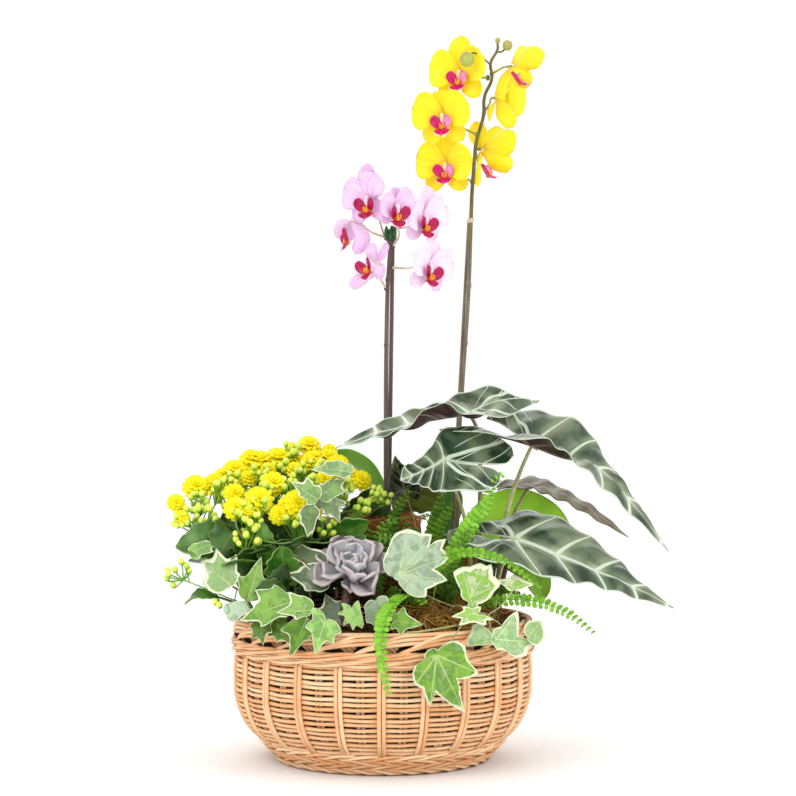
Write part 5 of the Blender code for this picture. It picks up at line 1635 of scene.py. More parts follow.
# Rachis and spread, then size and spacing of the leaflets, how far they are raised, their breadth and the
# share of either side
FERN_FRONDS = (
    (((54, -62, 152), (60, -74, 190), (72, -76, 215), (88, -74, 242), (102, -66, 258), (104, -60, 271),
      (118, -52, 286)), (0.8, 0.1, -0.5), 9.4, 5.4, 10, 0.72, (1.0, 1.0)),
    (((48, -76, 150), (54, -98, 196), (70, -108, 212), (90, -114, 214), (108, -118, 210), (127, -122, 199),
      (142, -122, 187), (151, -118, 180)), (0.1, -0.6, 0.8), 8.2, 5.8, 12, 0.80, (0.75, 1.0)),
    (((84, -58, 150), (104, -84, 164), (142, -94, 166), (176, -96, 155), (204, -92, 134)), (0.1, -0.5, 0.85),
     8.6, 5.8, 8, 0.66, (0.8, 1.0)),
    (((30, -74, 152), (24, -112, 172), (15, -130, 169), (7, -148, 162), (2, -160, 150), (0, -167, 133),
      (2, -168, 111), (7, -167, 86)), (0.9, 0.1, 0.2), 8.4, 5.4, 14, 0.82, (1.15, 0.8)),
)


def fern_finish():
    choice = settings("foliage")
    finish = Finish("fern_leaf", 0.45, Specular_IOR_Level=0.35)
    share = finish.each() * 0.6 + finish.cloud(120.0, 2).band(0.4, 0.7, 0.0, 0.4)
    light = finish.mark("light")
    ground = finish.blend(share, choice.fern, tone(96, 158, 34))
    # painted light and shade: each frond lighter or darker by its 'light' mark
    finish.paint(finish.shade(ground, light))
    finish.relief(finish.cloud(400.0, 2), 0.0004, 0.5)
    return finish.material


def pinna(size):
    """One small round leaflet along +X, cupped."""
    def shape(u, v):
        s = 2 * u - 1
        width = np.interp(v, (0, 0.25, 0.5, 0.75, 1.0), (0.34, 0.48, 0.54, 0.50, 0.24))
        return (v * size, s * width * size, (0.12 * s * s - 0.16 * (v - 0.5) ** 2) * size)
    return applied(grid(3, 4, shape), 'SOLIDIFY', thickness=0.0004, offset=0.0)


def fern_frond(points, across, size, spacing, dice, light, rise, breadth, shares=(1.0, 1.0)):
    """A rachis with pairs of round leaflets, raised by rise in degrees, that grow smaller to the tip."""
    level, upright = math.cos(math.radians(rise)), math.sin(math.radians(rise))
    midrib = Midrib(points, across)
    first = 0.16 if midrib.length > 0.1 else 0.08
    count = int(midrib.length * (1 - first) / spacing)
    matrices = []
    for pair in range(count):
        u = first + (1 - first) * (pair + 0.5) / count
        taper = math.sin(math.pi * min(0.5, 0.22 + pair / count)) * (1.0 - 0.7 * (pair / count) ** 2.5)
        middle, side, normal = (Vector(value) for value in midrib.place(u))
        along = side.cross(normal)
        for way, share in zip((-1, 1), shares):
            swing = dice.uniform(-0.12, 0.12)
            out = side * way * level + normal * upright + along * (0.30 + swing * 0.5)
            lean, pitch = dice.uniform(-0.25, 0.1), dice.uniform(-0.18, 0.12)
            face = normal * level - side * way * upright + side * way * lean + along * pitch
            matrices.append(facing(middle + side * way * 0.0004, out, face)
                            @ Matrix.Scale(taper * share * dice.uniform(0.9, 1.1), 4)
                            @ Matrix.Diagonal((1, breadth, 1, 1)))
    leaflets = copies(pinna(size), matrices)
    rachis = rods([midrib.path[::3]], 0.0014, 6, taper=(1.2, 0.5))
    return marked(joined([leaflets, rachis]), "light", light)


# Short fronds that stand round the root balls: rachis, spread and lightness. The lightness is painted
# shade, darker for fronds that stand deep among the other plants.
FERN_TUFTS = (
    (((-4, -34, 152), (-4, -56, 212), (2, -66, 236), (14, -68, 240)), (0.8, 0.2, -0.5), 0.9),
    (((0, -34, 152), (-8, -60, 200), (-4, -74, 222), (10, -80, 226)), (0.5, 0.2, 0.8), 0.8),
    (((8, -14, 160), (10, -22, 236), (18, -26, 256), (28, -28, 268)), (0.8, 0.1, -0.5), 0.6),
    (((44, -10, 160), (50, -18, 228), (56, -22, 252), (60, -26, 272)), (0.9, 0.2, -0.2), 0.8),
    (((46, -12, 160), (52, -24, 220), (62, -30, 242), (70, -34, 256)), (0.8, 0.2, -0.4), 1.0),
    (((52, -60, 152), (66, -82, 200), (80, -90, 226), (92, -92, 236)), (0.7, 0.1, -0.7), 1.0),
    (((56, -60, 152), (64, -82, 182), (62, -92, 194), (54, -98, 190)), (0.3, 0.5, 0.8), 0.7),
    (((60, -62, 152), (74, -86, 176), (84, -96, 178), (94, -100, 170)), (0.5, 0.2, 0.8), 0.7),
    (((40, -70, 152), (36, -100, 168), (36, -118, 172), (40, -130, 166)), (0.8, 0.1, 0.5), 0.9),
    (((64, -40, 152), (74, -48, 202), (82, -56, 222), (92, -62, 230)), (0.7, 0.1, -0.7), 0.7),
    (((-10, -56, 152), (2, -84, 170), (14, -100, 174), (26, -108, 166)), (0.6, -0.5, 0.5), 0.7),
    (((96, -40, 152), (112, -52, 172), (128, -58, 172), (142, -60, 162)), (0.1, -0.8, 0.5), 0.9),
    (((92, -20, 152), (100, -30, 182), (110, -36, 200), (122, -38, 206)), (0.8, 0.1, -0.5), 0.5),
    (((86, -30, 152), (92, -42, 190), (102, -50, 206), (112, -54, 204)), (0.5, -0.6, 0.6), 0.5),
    (((40, -66, 150), (36, -82, 176), (30, -90, 192), (20, -96, 202)), (0.5, 0.2, 0.8), 0.45),
    (((64, -66, 150), (72, -82, 172), (82, -90, 188), (94, -94, 196)), (0.4, -0.2, 0.9), 0.45),
    (((54, -66, 150), (58, -84, 166), (66, -94, 176), (78, -98, 176)), (0.2, -0.5, 0.8), 0.4),
    (((30, -70, 150), (22, -92, 164), (12, -104, 168), (4, -112, 162)), (0.3, -0.5, 0.8), 0.5),
    (((80, -50, 150), (92, -70, 168), (104, -80, 174), (118, -84, 172)), (0.1, -0.4, 0.9), 0.5),
    (((20, -40, 160), (22, -58, 200), (26, -66, 220), (34, -70, 234)), (0.8, 0.1, -0.4), 0.5),
    (((34, -30, 160), (30, -44, 200), (26, -52, 222), (22, -56, 244)), (0.8, 0.1, 0.2), 0.45),
    (((-16, -40, 160), (-18, -56, 196), (-16, -62, 216), (-10, -66, 232)), (0.8, 0.1, -0.2), 0.45),
)


class PLANTING_OT_fern(bpy.types.Operator):
    """Grows the button fern's fronds"""
    bl_idname = "planting.fern"
    bl_label = "Fern"

    def execute(self, context):
        leaf_finish = fern_finish()
        for number, (points, across, size, spacing, *rest) in enumerate(FERN_FRONDS, 1):
            dice = random.Random(40 + number)
            frond = fern_frond(points, across, size * MM, spacing * MM, dice, 1.0, *rest)
            finished(frond, f"button_fern_{number}", leaf_finish, "fern", [f"fern_frond_{number}"])
        dice = random.Random(12)
        # painted shade: these tufts, and the fronds round the root balls below, are darker than the big fronds
        tufts = [fern_frond(points, across, 0.0082, 0.0052, dice, light * 0.62, 12, 0.8)
                 for points, across, light in FERN_TUFTS]
        for (x, y), radius, height in ROOT_BALLS.values():
            for number in range(10):
                angle = math.radians(-20 + 220 * number / 10 + dice.uniform(-8, 8))
                way = np.array((math.cos(angle), math.sin(angle), 0))
                foot = np.array((x, y, 150)) + way * (radius + 4)
                high = foot + way * 6 + np.array((0, 0, (height - 150) * dice.uniform(0.5, 0.9)))
                tip = high + way * dice.uniform(14, 24) + np.array((0, 0, 10))
                tufts.append(fern_frond((foot, high, tip, tip + way * 12 - (0, 0, 6)),
                                        (-math.sin(angle), math.cos(angle), 0.1), 0.0080, 0.0056, dice,
                                        dice.uniform(0.35, 0.7), 12, 0.8))
        finished(joined(tufts), "fern_tufts", leaf_finish, "fern")
        return {'FINISHED'}


# ---------------------------------------------------------------- kalanchoe

# Foot of the stalk and middle of each head
KALANCHOE_HEADS = (
    ((-124, -22, 140), (-182, -20, 258)), ((-118, -2, 142), (-148, 16, 270)),
    ((-104, 12, 146), (-110, 44, 280)), ((-88, 24, 152), (-68, 66, 290)),
    ((-74, 4, 158), (-66, 18, 272)), ((-110, -36, 144), (-134, -58, 244)),
    ((-86, -30, 154), (-84, -52, 246)),
)
# Middle and radius of each open floret, then middle, spread and number of each tuft of buds
FLORETS = (
    ((-76, 46, 308), 10.5), ((-93, 44, 306), 7), ((-125, 24, 292), 12), ((-107, 30, 294), 12.5),
    ((-149, 4, 285), 10.5), ((-168, -8, 274), 9), ((-186, -16, 270), 11), ((-204, -30, 256), 7.5),
    ((-197, -38, 242), 6.5), ((-146, -34, 265), 9), ((-121, -52, 259), 12), ((-143, -60, 252), 10),
    ((-108, -30, 274), 11), ((-101, -58, 246), 8.5), ((-84, -54, 255), 12.5), ((-70, 30, 295), 10),
    ((-56, 34, 296), 10), ((-46, 20, 289), 11), ((-22, 6, 276), 9), ((-58, -30, 279), 7.5),
    ((-42, -20, 277), 8), ((-89, 10, 286), 8), ((-134, -8, 279), 7.5), ((-55, 44, 304), 7),
    ((-63, -50, 249), 4), ((-115, 6, 287), 7), ((-132, -62, 250), 7), ((-33, 8, 282), 7),
    ((-161, 0, 281), 7), ((-95, -54, 256), 6), ((-78, -50, 263), 6))
BUD_TUFTS = (
    ((-182, -30, 253), 9, 16), ((-150, -16, 274), 7, 7), ((-123, -8, 281), 9, 11),
    ((-94, 30, 304), 7, 9), ((-82, 0, 285), 5, 6), ((-92, -34, 271), 8, 10), ((-138, -64, 247), 7, 8),
    ((-121, -62, 250), 9, 10), ((-127, -66, 235), 10, 15), ((-132, -70, 221), 12, 15),
    ((-86, -62, 240), 10, 12), ((-78, -64, 230), 8, 8), ((-55, -56, 231), 8, 9), ((-22, -34, 248), 8, 9),
    ((-10, -20, 261), 8, 9), ((-1, -14, 260), 8, 10), ((-103, 10, 287), 6, 6), ((-200, -36, 237), 6, 8),
    ((-190, -34, 239), 8, 8), ((-163, -24, 266), 8, 9), ((-67, 6, 289), 6, 6), ((-72, -34, 272), 7, 7),
    ((-116, -44, 267), 6, 7), ((-39, -30, 268), 8, 9), ((-171, -44, 240), 8, 7))
BACK_FLORETS, HIDDEN_LEAVES, SCALLOPS = 16, 26, 5
SHOOT = ((-128, -70, 158), (-151, -80, 168), (-170, -80, 176), (-186, -80, 182), (-196, -80, 186))
SHOOT_BUDS = ((-206, -80, 190), (-207, -80, 183), (-201, -78, 176), (-188, -80, 195), (-193, -82, 199),
              (-205, -84, 187), (-199, -80, 191), (-160, -82, 160), (-156, -84, 157), (-186, -78, 190))


def floret(radius):
    """A double floret: whorls of small blunt petals heaped into a dome, facing +Z."""
    def petal(u, v):
        s = 2 * u - 1
        width = 0.30 * np.interp(v, (0, 0.5, 0.85, 1.0), (0.5, 1.0, 0.95, 0.45))
        return (v, s * width, 0.10 * s * s + 0.10 * np.sin(v * 2.4))

    whorls = []
    for petals, tilt, size, lift in ((11, -8, 1.0, 0.0), (11, 10, 0.95, 0.12), (10, 28, 0.84, 0.24),
                                     (8, 48, 0.66, 0.36), (5, 70, 0.46, 0.44)):
        model = applied(grid(2, 3, petal), 'SOLIDIFY', thickness=0.06, offset=0.0)
        turns = []
        for number in range(petals):
            spin = Matrix.Rotation(TURN * (number + tilt / 30) / petals, 4, 'Z')
            turns.append(Matrix.Translation((0, 0, lift * radius)) @ spin
                         @ Matrix.Rotation(-math.radians(tilt), 4, 'Y') @ Matrix.Scale(size * radius, 4))
        # the upright inner whorls are marked for the painted shade in the floret's heart
        whorls.append(marked(copies(model, turns), "depth", tilt / 72))
    return joined(whorls)


def bud(length_of):
    """A plump bud that stands up along +Z, with its number 'tip' running from foot to point."""
    body = ball((0, 0, 0), (1, 1, 1), 8, 7)
    places = points_of(body)
    up = (places[:, 2] + 1) / 2
    slim = np.interp(up, (0, 0.25, 0.6, 0.9, 1.0), (0.30, 0.42, 0.48, 0.34, 0.1)) / np.sqrt(
        np.clip(1 - places[:, 2] ** 2, 0.05, 1))
    places[:, 0] *= slim
    places[:, 1] *= slim
    places[:, 2] = up * 1.15
    put_points(body, places * length_of)
    return marked(body, "tip", up)


def kalanchoe_finishes():
    choice = settings("foliage")
    petals = Finish("kalanchoe_petal", 0.5, Specular_IOR_Level=0.3)
    # painted shade: the inner whorls, deep in each floret, turn a deeper yellow; each petal also has a random tone
    share = petals.each().band(0.0, 1.0, 0.0, 0.5) + petals.mark("depth").band(0.3, 1.0, 0.0, 0.4)
    ground = petals.blend(share, choice.kalanchoe, tone(255, 232, 14))
    petals.paint(petals.shade(ground, petals.cloud(300.0, 2).band(0.3, 0.7, 1.0, 1.12)))
    petals.relief(petals.cloud(600.0, 2), 0.0004, 0.6)

    buds = Finish("kalanchoe_bud", 0.4, Specular_IOR_Level=0.4)
    share = buds.mark("tip").band(0.10, 0.55) * buds.each().band(0.0, 1.0, 0.75, 1.0)
    buds.paint(buds.blend(share, tone(120, 184, 22), tone(234, 246, 104)))
    buds.relief(buds.cloud(500.0, 2), 0.0003, 0.5)

    stalks = simple_finish("kalanchoe_stalk", 0.45, tone(124, 172, 56), tone(92, 140, 40), 150.0)
    return petals.material, buds.material, stalks


def kalanchoe_head(foot, middle, florets, tufts, dice, finishes):
    """A branched head: domed florets on top, tufts of buds beside and below, on thin stalks."""
    petals, buds, stalk = finishes
    middle = np.array(middle, dtype=float)
    base = middle - np.array((0, 0, 30.0))
    heart = Vector((-100, 0, 215))
    pieces, ways = [], []
    for place, radius in florets:
        top = Vector(place)
        look = facing(top * MM, Vector((1, 0.3, 0)), (top - heart).normalized() + Vector((0, -0.85, 0.1)))
        flower = floret(radius * 1.26 * MM)
        flower.data.transform(look @ Matrix.Rotation(dice.uniform(0, TURN), 4, 'Z')
                              @ Matrix.Translation((0, 0, -0.0015)))
        pieces.append(painted(flower, petals))
        ways.append(smooth_path([base, (base + np.array(top)) / 2 - np.array((0, 0, 2.0)), top], 3))
    bud_places = []
    for place, spread, count in tufts:
        node = np.array(place) * 0.82 + np.array(middle - (0, 0, 16)) * 0.18 - np.array((0, 0, spread * 1.1))
        ways.append(smooth_path([base, (base + node) / 2 + np.array((0, 0, -3.0)), node], 3))
        for number in range(count):
            angle = number * 2.399 + dice.uniform(-0.3, 0.3)
            rise = dice.uniform(-0.9, 1.0)
            reach = spread * math.sqrt(1 - 0.8 * rise * rise) * dice.uniform(0.6, 1.0)
            out = (reach * math.cos(angle), reach * math.sin(angle), rise * spread)
            top = np.array(place) + np.array(out)
            tilt = Vector(top - node).normalized() + Vector((0, 0, 0.5))
            look = facing(Vector(top) * MM, tilt.orthogonal(), tilt)
            bud_places.append(look @ Matrix.Scale(dice.uniform(0.8, 1.2), 4))
            ways.append(smooth_path([node, top], 2))
    if bud_places:
        pieces.append(painted(copies(bud(0.0062), bud_places), buds))
    bend = (np.array(foot) + base) / 2 + np.array((0, 0, 6.0))
    pieces.append(painted(rods(ways, 0.0013, 6), stalk))
    pieces.append(painted(rods([smooth_path([foot, bend, base], 6)], 0.0040, 8, taper=(1.1, 0.7)), stalk))
    return joined(pieces)


def side_shoot(buds, stalk):
    """A low shoot to the left, with buds at its end and beside its foot."""
    twigs = [smooth_path(SHOOT, 4), smooth_path([(-186, -80, 182), (-190, -80, 196)], 2)]
    spots = []
    for place in SHOOT_BUDS:
        joint = (-192, -80, 184) if place[0] < -180 else (-158, -80, 166)
        twigs.append(smooth_path([joint, place], 2))
        spots.append(facing(Vector(place) * MM, (0, 1, 0), (-0.3, -0.2, 1)) @ Matrix.Scale(1.1, 4))
    return joined([painted(copies(bud(0.0058), spots), buds), painted(rods(twigs, 0.0016, 6), stalk)])


class PLANTING_OT_kalanchoe_heads(bpy.types.Operator):
    """Raises the kalanchoe's yellow flower heads"""
    bl_idname = "planting.kalanchoe_heads"
    bl_label = "Kalanchoe heads"

    def execute(self, context):
        finishes = kalanchoe_finishes()
        dice = random.Random(9)
        florets, tufts = list(FLORETS), list(BUD_TUFTS)
        for number in range(BACK_FLORETS):
            angle = math.radians(20 + 150 * number / BACK_FLORETS + dice.uniform(-5, 5))
            reach = 0.45 + 0.55 * (number % 3) / 2
            spot = (-104 + 70 * reach * math.cos(angle), 14 + 62 * reach * math.sin(angle),
                    300 - 34 * reach ** 2 + dice.uniform(-3, 3))
            florets.append((spot, dice.uniform(8, 12)))
            tufts.append(((spot[0] + 8, spot[1] + 4, spot[2] - 15), 8, 8))
        homes = np.array([middle for _, middle in KALANCHOE_HEADS])

        def nearest(place):
            return np.argmin(np.linalg.norm(homes - np.array(place), axis=1))

        for number, (foot, middle) in enumerate(KALANCHOE_HEADS):
            head = kalanchoe_head(foot, middle, [item for item in florets if nearest(item[0]) == number],
                                  [item for item in tufts if nearest(item[0]) == number], dice, finishes)
            finished(head, f"kalanchoe_bloom_{number + 1}", None, "kalanchoe_bloom",
                     [f"kalanchoe_head_{number + 1}"])
        finished(side_shoot(*finishes[1:]), "kalanchoe_side_shoot", None, "kalanchoe_bloom")
        return {'FINISHED'}


# Foot, rest of the midrib, spread, half width and lightness of the leaves that stand out. The lightness
# is painted light and shade: high for lit leaves, low for leaves in shade.
KALANCHOE_LEAVES = (
    (((-118, -20, 150), (-140, -36, 200), (-166, -48, 218), (-202, -54, 214)), (0.1, 0.5, 0.85), 0.36, 1.25),
    (((-104, -50, 150), (-92, -62, 176), (-95, -72, 192), (-98, -82, 218)), (0.95, 0.1, 0.1), 0.44, 1.7),
    (((-104, -30, 160), (-128, -50, 212), (-142, -56, 229), (-161, -62, 203)), (0.85, 0.2, 0.5), 0.42, 0.9),
    (((-104, -40, 160), (-110, -60, 196), (-113, -66, 214), (-117, -68, 240)), (0.9, 0.1, 0.1), 0.24, 1.5),
    (((-110, -40, 160), (-124, -60, 186), (-132, -68, 200), (-148, -76, 188)), (0.5, 0.2, 0.9), 0.40, 0.8),
    (((-80, -30, 165), (-84, -60, 186), (-80, -70, 206), (-74, -76, 226)), (0.9, 0.1, 0.3), 0.38, 0.7),
    (((-60, -10, 165), (-46, -36, 205), (-36, -48, 226), (-14, -56, 240)), (0.5, 0.2, -0.9), 0.34, 1.5),
    (((-60, -20, 165), (-40, -60, 195), (-30, -66, 212), (-16, -70, 226)), (0.5, 0.2, 0.9), 0.36, 1.0),
    (((-70, -60, 158), (-92, -94, 168), (-108, -104, 176), (-122, -110, 174)), (0.3, 0.5, 0.9), 0.38, 0.7),
    (((-126, -40, 150), (-160, -62, 166), (-178, -68, 168), (-192, -70, 160)), (0.2, 0.9, 0.3), 0.30, 1.2),
    (((-90, -60, 152), (-96, -86, 172), (-98, -96, 184), (-92, -100, 202)), (0.9, 0.2, 0.2), 0.34, 0.55),
    (((-70, -30, 150), (-62, -48, 166), (-56, -56, 178), (-44, -60, 198)), (0.9, 0.2, 0.2), 0.50, 0.35),
    (((-76, -40, 150), (-74, -62, 160), (-70, -72, 168), (-64, -78, 186)), (0.9, 0.1, 0.3), 0.50, 0.28),
    (((-50, 0, 170), (-34, 34, 212), (-26, 38, 228), (-12, 40, 266)), (0.9, 0.1, 0.3), 0.36, 0.45),
    (((-46, -10, 165), (-22, 2, 200), (-12, 6, 214), (2, 6, 250)), (0.9, 0.1, -0.3), 0.38, 0.45),
    (((-110, -20, 160), (-116, -8, 200), (-118, -4, 216), (-122, 0, 252)), (0.9, 0.1, 0.1), 0.44, 0.45),
    (((-100, -20, 160), (-88, -8, 200), (-84, -4, 216), (-78, 0, 254)), (0.9, -0.1, 0.1), 0.44, 0.4),
    (((-116, -20, 160), (-136, -16, 204), (-144, -14, 220), (-158, -12, 246)), (0.6, -0.4, 0.6), 0.40, 0.5),
    (((-90, -30, 160), (-60, -24, 204), (-50, -22, 220), (-36, -20, 246)), (0.6, 0.4, -0.6), 0.40, 0.45),
)


def turned_to(midrib, look):
    """A midrib with its sides swapped if its face would look away from the given way."""
    normal = midrib.place(0.4)[2]
    if np.dot(normal, look) < 0:
        midrib.across = -midrib.across
    return midrib


def scalloped_leaf(points, across, half_width, light, look=(0, -0.5, 1)):
    """A thick oval leaf with a scalloped margin."""
    midrib = turned_to(Midrib(points[-3:], across), look)

    def shape(u, v):
        s = 2 * u - 1
        width = half_width * np.sin(math.pi * np.clip(v * 0.94 + 0.05, 0, 1) ** 0.85) ** 0.75
        notch = 1 - 0.2 * np.abs(s) ** 3 * np.abs(np.cos(math.pi * SCALLOPS * v)) ** 3
        lift = 0.20 * s * s * width + 0.03 * np.sin(9 * v) * s
        return midrib.point(v, s * width * notch, lift).T

    leaf = sheet(12, 26, shape, 0.0013)
    stalk = rods([smooth_path(points[:-1], 5)], 0.0030, 8, taper=(1.0, 0.7))
    return marked(joined([leaf, stalk]), "light", light)


def kalanchoe_leaf_finish():
    choice = settings("foliage")
    finish = Finish("kalanchoe_leaf", 0.30, Specular_IOR_Level=0.5)
    across, _ = finish.across_along()
    blotch = finish.cloud(60.0, 3)
    ground = finish.blend(blotch.band(0.38, 0.66), choice.kalanchoe_leaf, tone(46, 84, 28))
    rim = abs(across - 0.5).band(0.44, 0.5, 0.0, 0.45) + abs(across - 0.5).band(0.0, 0.03, 0.35, 0.0)
    ground = finish.blend(rim, ground, tone(140, 168, 84))
    # painted light and shade: each leaf lighter or darker by its 'light' mark
    finish.paint(finish.shade(ground, finish.mark("light")))
    finish.relief(blotch + finish.cloud(300.0, 2) * 0.4, 0.0006, 0.5)
    return finish.material


class PLANTING_OT_kalanchoe_leaves(bpy.types.Operator):
    """Fills the kalanchoe with its scalloped leaves"""
    bl_idname = "planting.kalanchoe_leaves"
    bl_label = "Kalanchoe leaves"

    def execute(self, context):
        leaf_finish = kalanchoe_leaf_finish()
        for number, (points, across, half_width, light) in enumerate(KALANCHOE_LEAVES[:2], 1):
            leaf = scalloped_leaf(points, across, half_width, light)
            finished(leaf, f"kalanchoe_foliage_{number}", leaf_finish, "kalanchoe_leaf",
                     [f"kalanchoe_leaf_{number}"])
        leaves = [scalloped_leaf(*values) for values in KALANCHOE_LEAVES[2:]]
        dice = random.Random(77)
        for _ in range(HIDDEN_LEAVES):
            angle = dice.uniform(0, TURN)
            reach = dice.uniform(0, 1) ** 0.5
            foot = np.array((-95 + 22 * math.cos(angle), 2 + 26 * math.sin(angle), 148))
            top = np.array((-104 + 70 * reach * math.cos(angle), -2 + 58 * reach * math.sin(angle),
                            dice.uniform(184, 222)))
            middle = foot * 0.5 + top * 0.5 + np.array((0, 0, 6))
            out = np.array((math.cos(angle), math.sin(angle), 0.25)) * dice.uniform(30, 44)
            side = (-math.sin(angle), math.cos(angle), 0.1)
            # the hidden leaves inside the plant are darkened with painted shade
            leaves.append(scalloped_leaf((foot, middle, top, top + out), side, dice.uniform(0.34, 0.42),
                                         dice.uniform(0.55, 0.95), look=(0, 0, 1)))
        finished(joined(leaves), "kalanchoe_foliage", leaf_finish, "kalanchoe_leaf")
        return {'FINISHED'}


# ---------------------------------------------------------------- echeveria

# Number of leaves, their length, tilt and thickness in each ring, from the heart outwards
ECHEVERIA_RINGS = ((3, 14, 78, 2.4), (4, 21, 66, 2.8), (5, 28, 52, 3.0), (6, 34, 36, 3.0), (7, 38, 16, 3.0))


def succulent_leaf(size, half_width, thickness, keel, flare, phase):
    """A thick blunt leaf along +X, cupped, keeled and with a small point."""
    def shape(u, v):
        s = 2 * u - 1
        width = half_width * np.interp(v, (0, 0.2, 0.5, 0.75, 0.9, 0.97, 1.0),
                                       (0.42, 0.60, 0.88, 1.0, 0.84, 0.46, 0.03))
        lift = flare * v ** 2 + 0.36 * s * s * width - keel * np.exp(-(s * 3) ** 2) * np.sin(v * 2.6)
        lift = lift + 0.10 * np.sin(6 * v + phase) * s + 0.06 * np.cos(5 * v + phase) * s * s
        return (v * size, s * width * size, lift * size)
    leaf = welded(grid(10, 10, shape), outward=False)
    applied(leaf, 'SOLIDIFY', thickness=thickness, offset=-1.0)
    return applied(leaf, 'SUBSURF', levels=1, render_levels=1)


def echeveria_finish():
    choice = settings("foliage")
    finish = Finish("echeveria_leaf", 0.62, Specular_IOR_Level=0.3)
    across, along = finish.across_along()
    bloom = finish.cloud(90.0, 3)
    ground = finish.blend(bloom.band(0.4, 0.65), choice.echeveria, tone(168, 178, 174))
    edge = (abs(across - 0.5).band(0.40, 0.5) + along.band(0.90, 1.0)).math('MINIMUM', 1.0)
    ground = finish.blend(finish.mark("outer").band(0.4, 1.0) * 0.45, ground, tone(190, 166, 166))
    ground = finish.blend(edge * 0.5, ground, tone(212, 190, 190))
    # painted shade: darker towards each leaf's base, deep in the rosette, and along its middle crease
    sunken = along.band(0.1, 0.62, 0.32, 1.0) * abs(across - 0.5).band(0.0, 0.08, 0.86, 1.0)
    finish.paint(finish.shade(ground, sunken * finish.cloud(40.0, 2).band(0.3, 0.7, 0.86, 1.1)))
    finish.relief(bloom, 0.0005, 0.5)
    return finish.material


class PLANTING_OT_echeveria(bpy.types.Operator):
    """Sets the echeveria's rosette on its leaning stem"""
    bl_idname = "planting.echeveria"
    bl_label = "Echeveria"

    def execute(self, context):
        dice = random.Random(5)
        leaves = []
        for ring, (count, size, tilt, thick) in enumerate(ECHEVERIA_RINGS):
            for step in range(count):
                angle = TURN * (step + 0.5 * (ring % 2)) / count + dice.uniform(-0.12, 0.12)
                below = ring == 4 and math.sin(angle) < -0.88  # short above the stem
                reach = size * MM * dice.uniform(0.9, 1.06) * (0.6 if below else 1.0)
                leaf = succulent_leaf(reach, 0.40, thick * MM, 0.20, 0.10, dice.uniform(0, TURN))
                marked(leaf, "outer", ring / 4)
                raise_by = Matrix.Rotation(-math.radians(tilt + dice.uniform(-12, 12)), 4, 'Y')
                twist = Matrix.Rotation(dice.uniform(-0.25, 0.25), 4, 'X')
                low = Matrix.Translation((0.003, 0, (4 - ring) * 0.0015))
                leaf.data.transform(Matrix.Rotation(angle, 4, 'Z') @ low @ raise_by @ twist)
                leaves.append(leaf)
        rosette = joined(leaves)
        rosette.data.transform(Matrix.Translation(Vector((-29, -88, 192)) * MM)
                               @ Matrix.Rotation(math.radians(48), 4, 'X'))
        painted(rosette, echeveria_finish())
        stem_finish = simple_finish("echeveria_stem", 0.5, tone(112, 72, 68), tone(78, 50, 46), 200.0)
        stem = rods([smooth_path([(-36, -104, 142), (-35, -100, 166), (-31, -92, 186)], 6)], 0.0090, 12)
        finished(joined([rosette, painted(stem, stem_finish)]), "echeveria_rosette", None, "succulent",
                 ["echeveria"])
        return {'FINISHED'}


# ---------------------------------------------------------------- stage

CAMERA_PLACE = (0.015, -2.2, 0.39)
CAMERA_TILT = 0.81  # degrees below level
SENSOR_WIDTH = 36.0
VIEW_WIDTH = 0.796  # what the camera takes in at the middle of the basket


def area_light(name, place, size, power):
    """A soft square light that looks at the middle of the planting."""
    deselect()
    bpy.ops.object.light_add(type='AREA', location=place)
    light = bpy.context.object
    light.name = name
    light.data.size = size
    light.data.energy = power
    light.rotation_euler = (Vector((0.0, 0.0, 0.30)) - Vector(place)).to_track_quat('-Z', 'Y').to_euler()


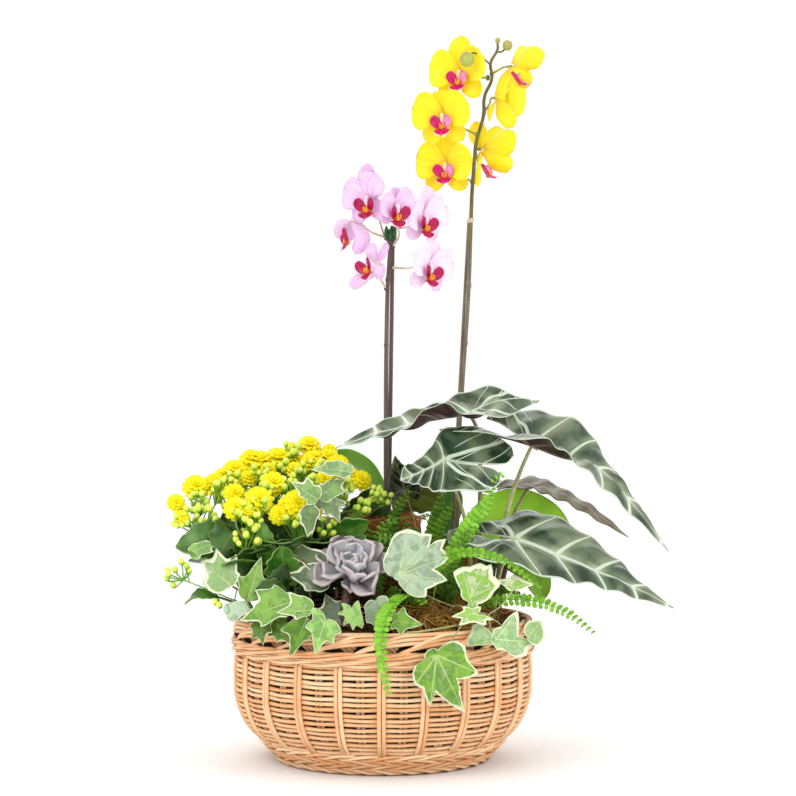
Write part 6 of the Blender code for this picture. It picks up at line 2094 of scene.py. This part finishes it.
class PLANTING_OT_stage(bpy.types.Operator):
    """Lays the pale floor and sets the lights and the camera"""
    bl_idname = "planting.stage"
    bl_label = "Stage"

    def execute(self, context):
        choice = settings("stage")
        deselect()
        bpy.ops.mesh.primitive_plane_add(size=24.0, location=(0.0, 0.0, -0.0006))
        floor = bpy.context.object
        floor.name = "floor"
        cover = Finish("floor", 0.9, Specular_IOR_Level=0.0)
        grain = cover.cloud(3.0, 2)
        cover.paint(cover.blend(grain * 0.04, choice.floor, (0.93, 0.93, 0.93)))
        floor.data.materials.append(cover.material)
        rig.stage(floor)

        world = bpy.data.worlds.new("studio")
        world.use_nodes = True
        sky = world.node_tree.nodes["Background"]
        sky.inputs["Color"].default_value = (1.0, 1.0, 1.0, 1.0)
        sky.inputs["Strength"].default_value = choice.fill
        context.scene.world = world

        area_light("key", (-0.9, -1.5, 1.7), 1.2, choice.key)
        area_light("side", (1.5, -0.8, 1.0), 1.2, choice.key * 0.5)
        area_light("back", (0.2, 1.6, 1.4), 1.4, choice.key * 0.5)

        deselect()
        bpy.ops.object.camera_add(location=CAMERA_PLACE, rotation=(math.radians(90 - CAMERA_TILT), 0.0, 0.0))
        camera = bpy.context.object
        camera.data.sensor_width = SENSOR_WIDTH
        camera.data.lens = SENSOR_WIDTH * -CAMERA_PLACE[1] / VIEW_WIDTH
        camera.data.clip_start = 0.05
        context.scene.camera = camera
        context.scene.view_settings.view_transform = 'Standard'
        return {'FINISHED'}


# ---------------------------------------------------------------- panel and registration

class PLANTING_PT_panel(bpy.types.Panel):
    """Lists the steps and settings of the planting"""
    bl_idname = "PLANTING_PT_panel"
    bl_label = "Potted moth orchid arrangement"
    bl_space_type = 'VIEW_3D'
    bl_region_type = 'UI'
    bl_category = "Planting"

    def draw(self, context):
        for step in STEPS:
            self.layout.operator(step.bl_idname)
        for group, kind in SETTINGS.items():
            box = self.layout.box()
            for name in kind.__annotations__:
                box.prop(settings(group), name)


SETTINGS = {"basket": BasketSettings, "fill": FillSettings, "orchids": OrchidSettings,
            "foliage": FoliageSettings, "stage": StageSettings}
STEPS = [kind for name, kind in list(globals().items()) if name.startswith("PLANTING_OT_")]


def register():
    for kind in (*SETTINGS.values(), *STEPS, PLANTING_PT_panel):
        bpy.utils.register_class(kind)
    for group, kind in SETTINGS.items():
        setattr(bpy.types.Scene, "planting_" + group, PointerProperty(type=kind))


def unregister():
    for group in SETTINGS:
        delattr(bpy.types.Scene, "planting_" + group)
    for kind in (PLANTING_PT_panel, *reversed(STEPS), *reversed(list(SETTINGS.values()))):
        bpy.utils.unregister_class(kind)


def main():
    register()
    for step in STEPS:
        family, name = step.bl_idname.split(".")
        getattr(getattr(bpy.ops, family), name)()
    boxes = {"cad": CAD_BOX, "visual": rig.bounds()}
    with open("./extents.json", "w") as sizes:
        json.dump({name: [list(corner) for corner in box] for name, box in boxes.items()}, sizes)


if __name__ == "__main__":
    main()
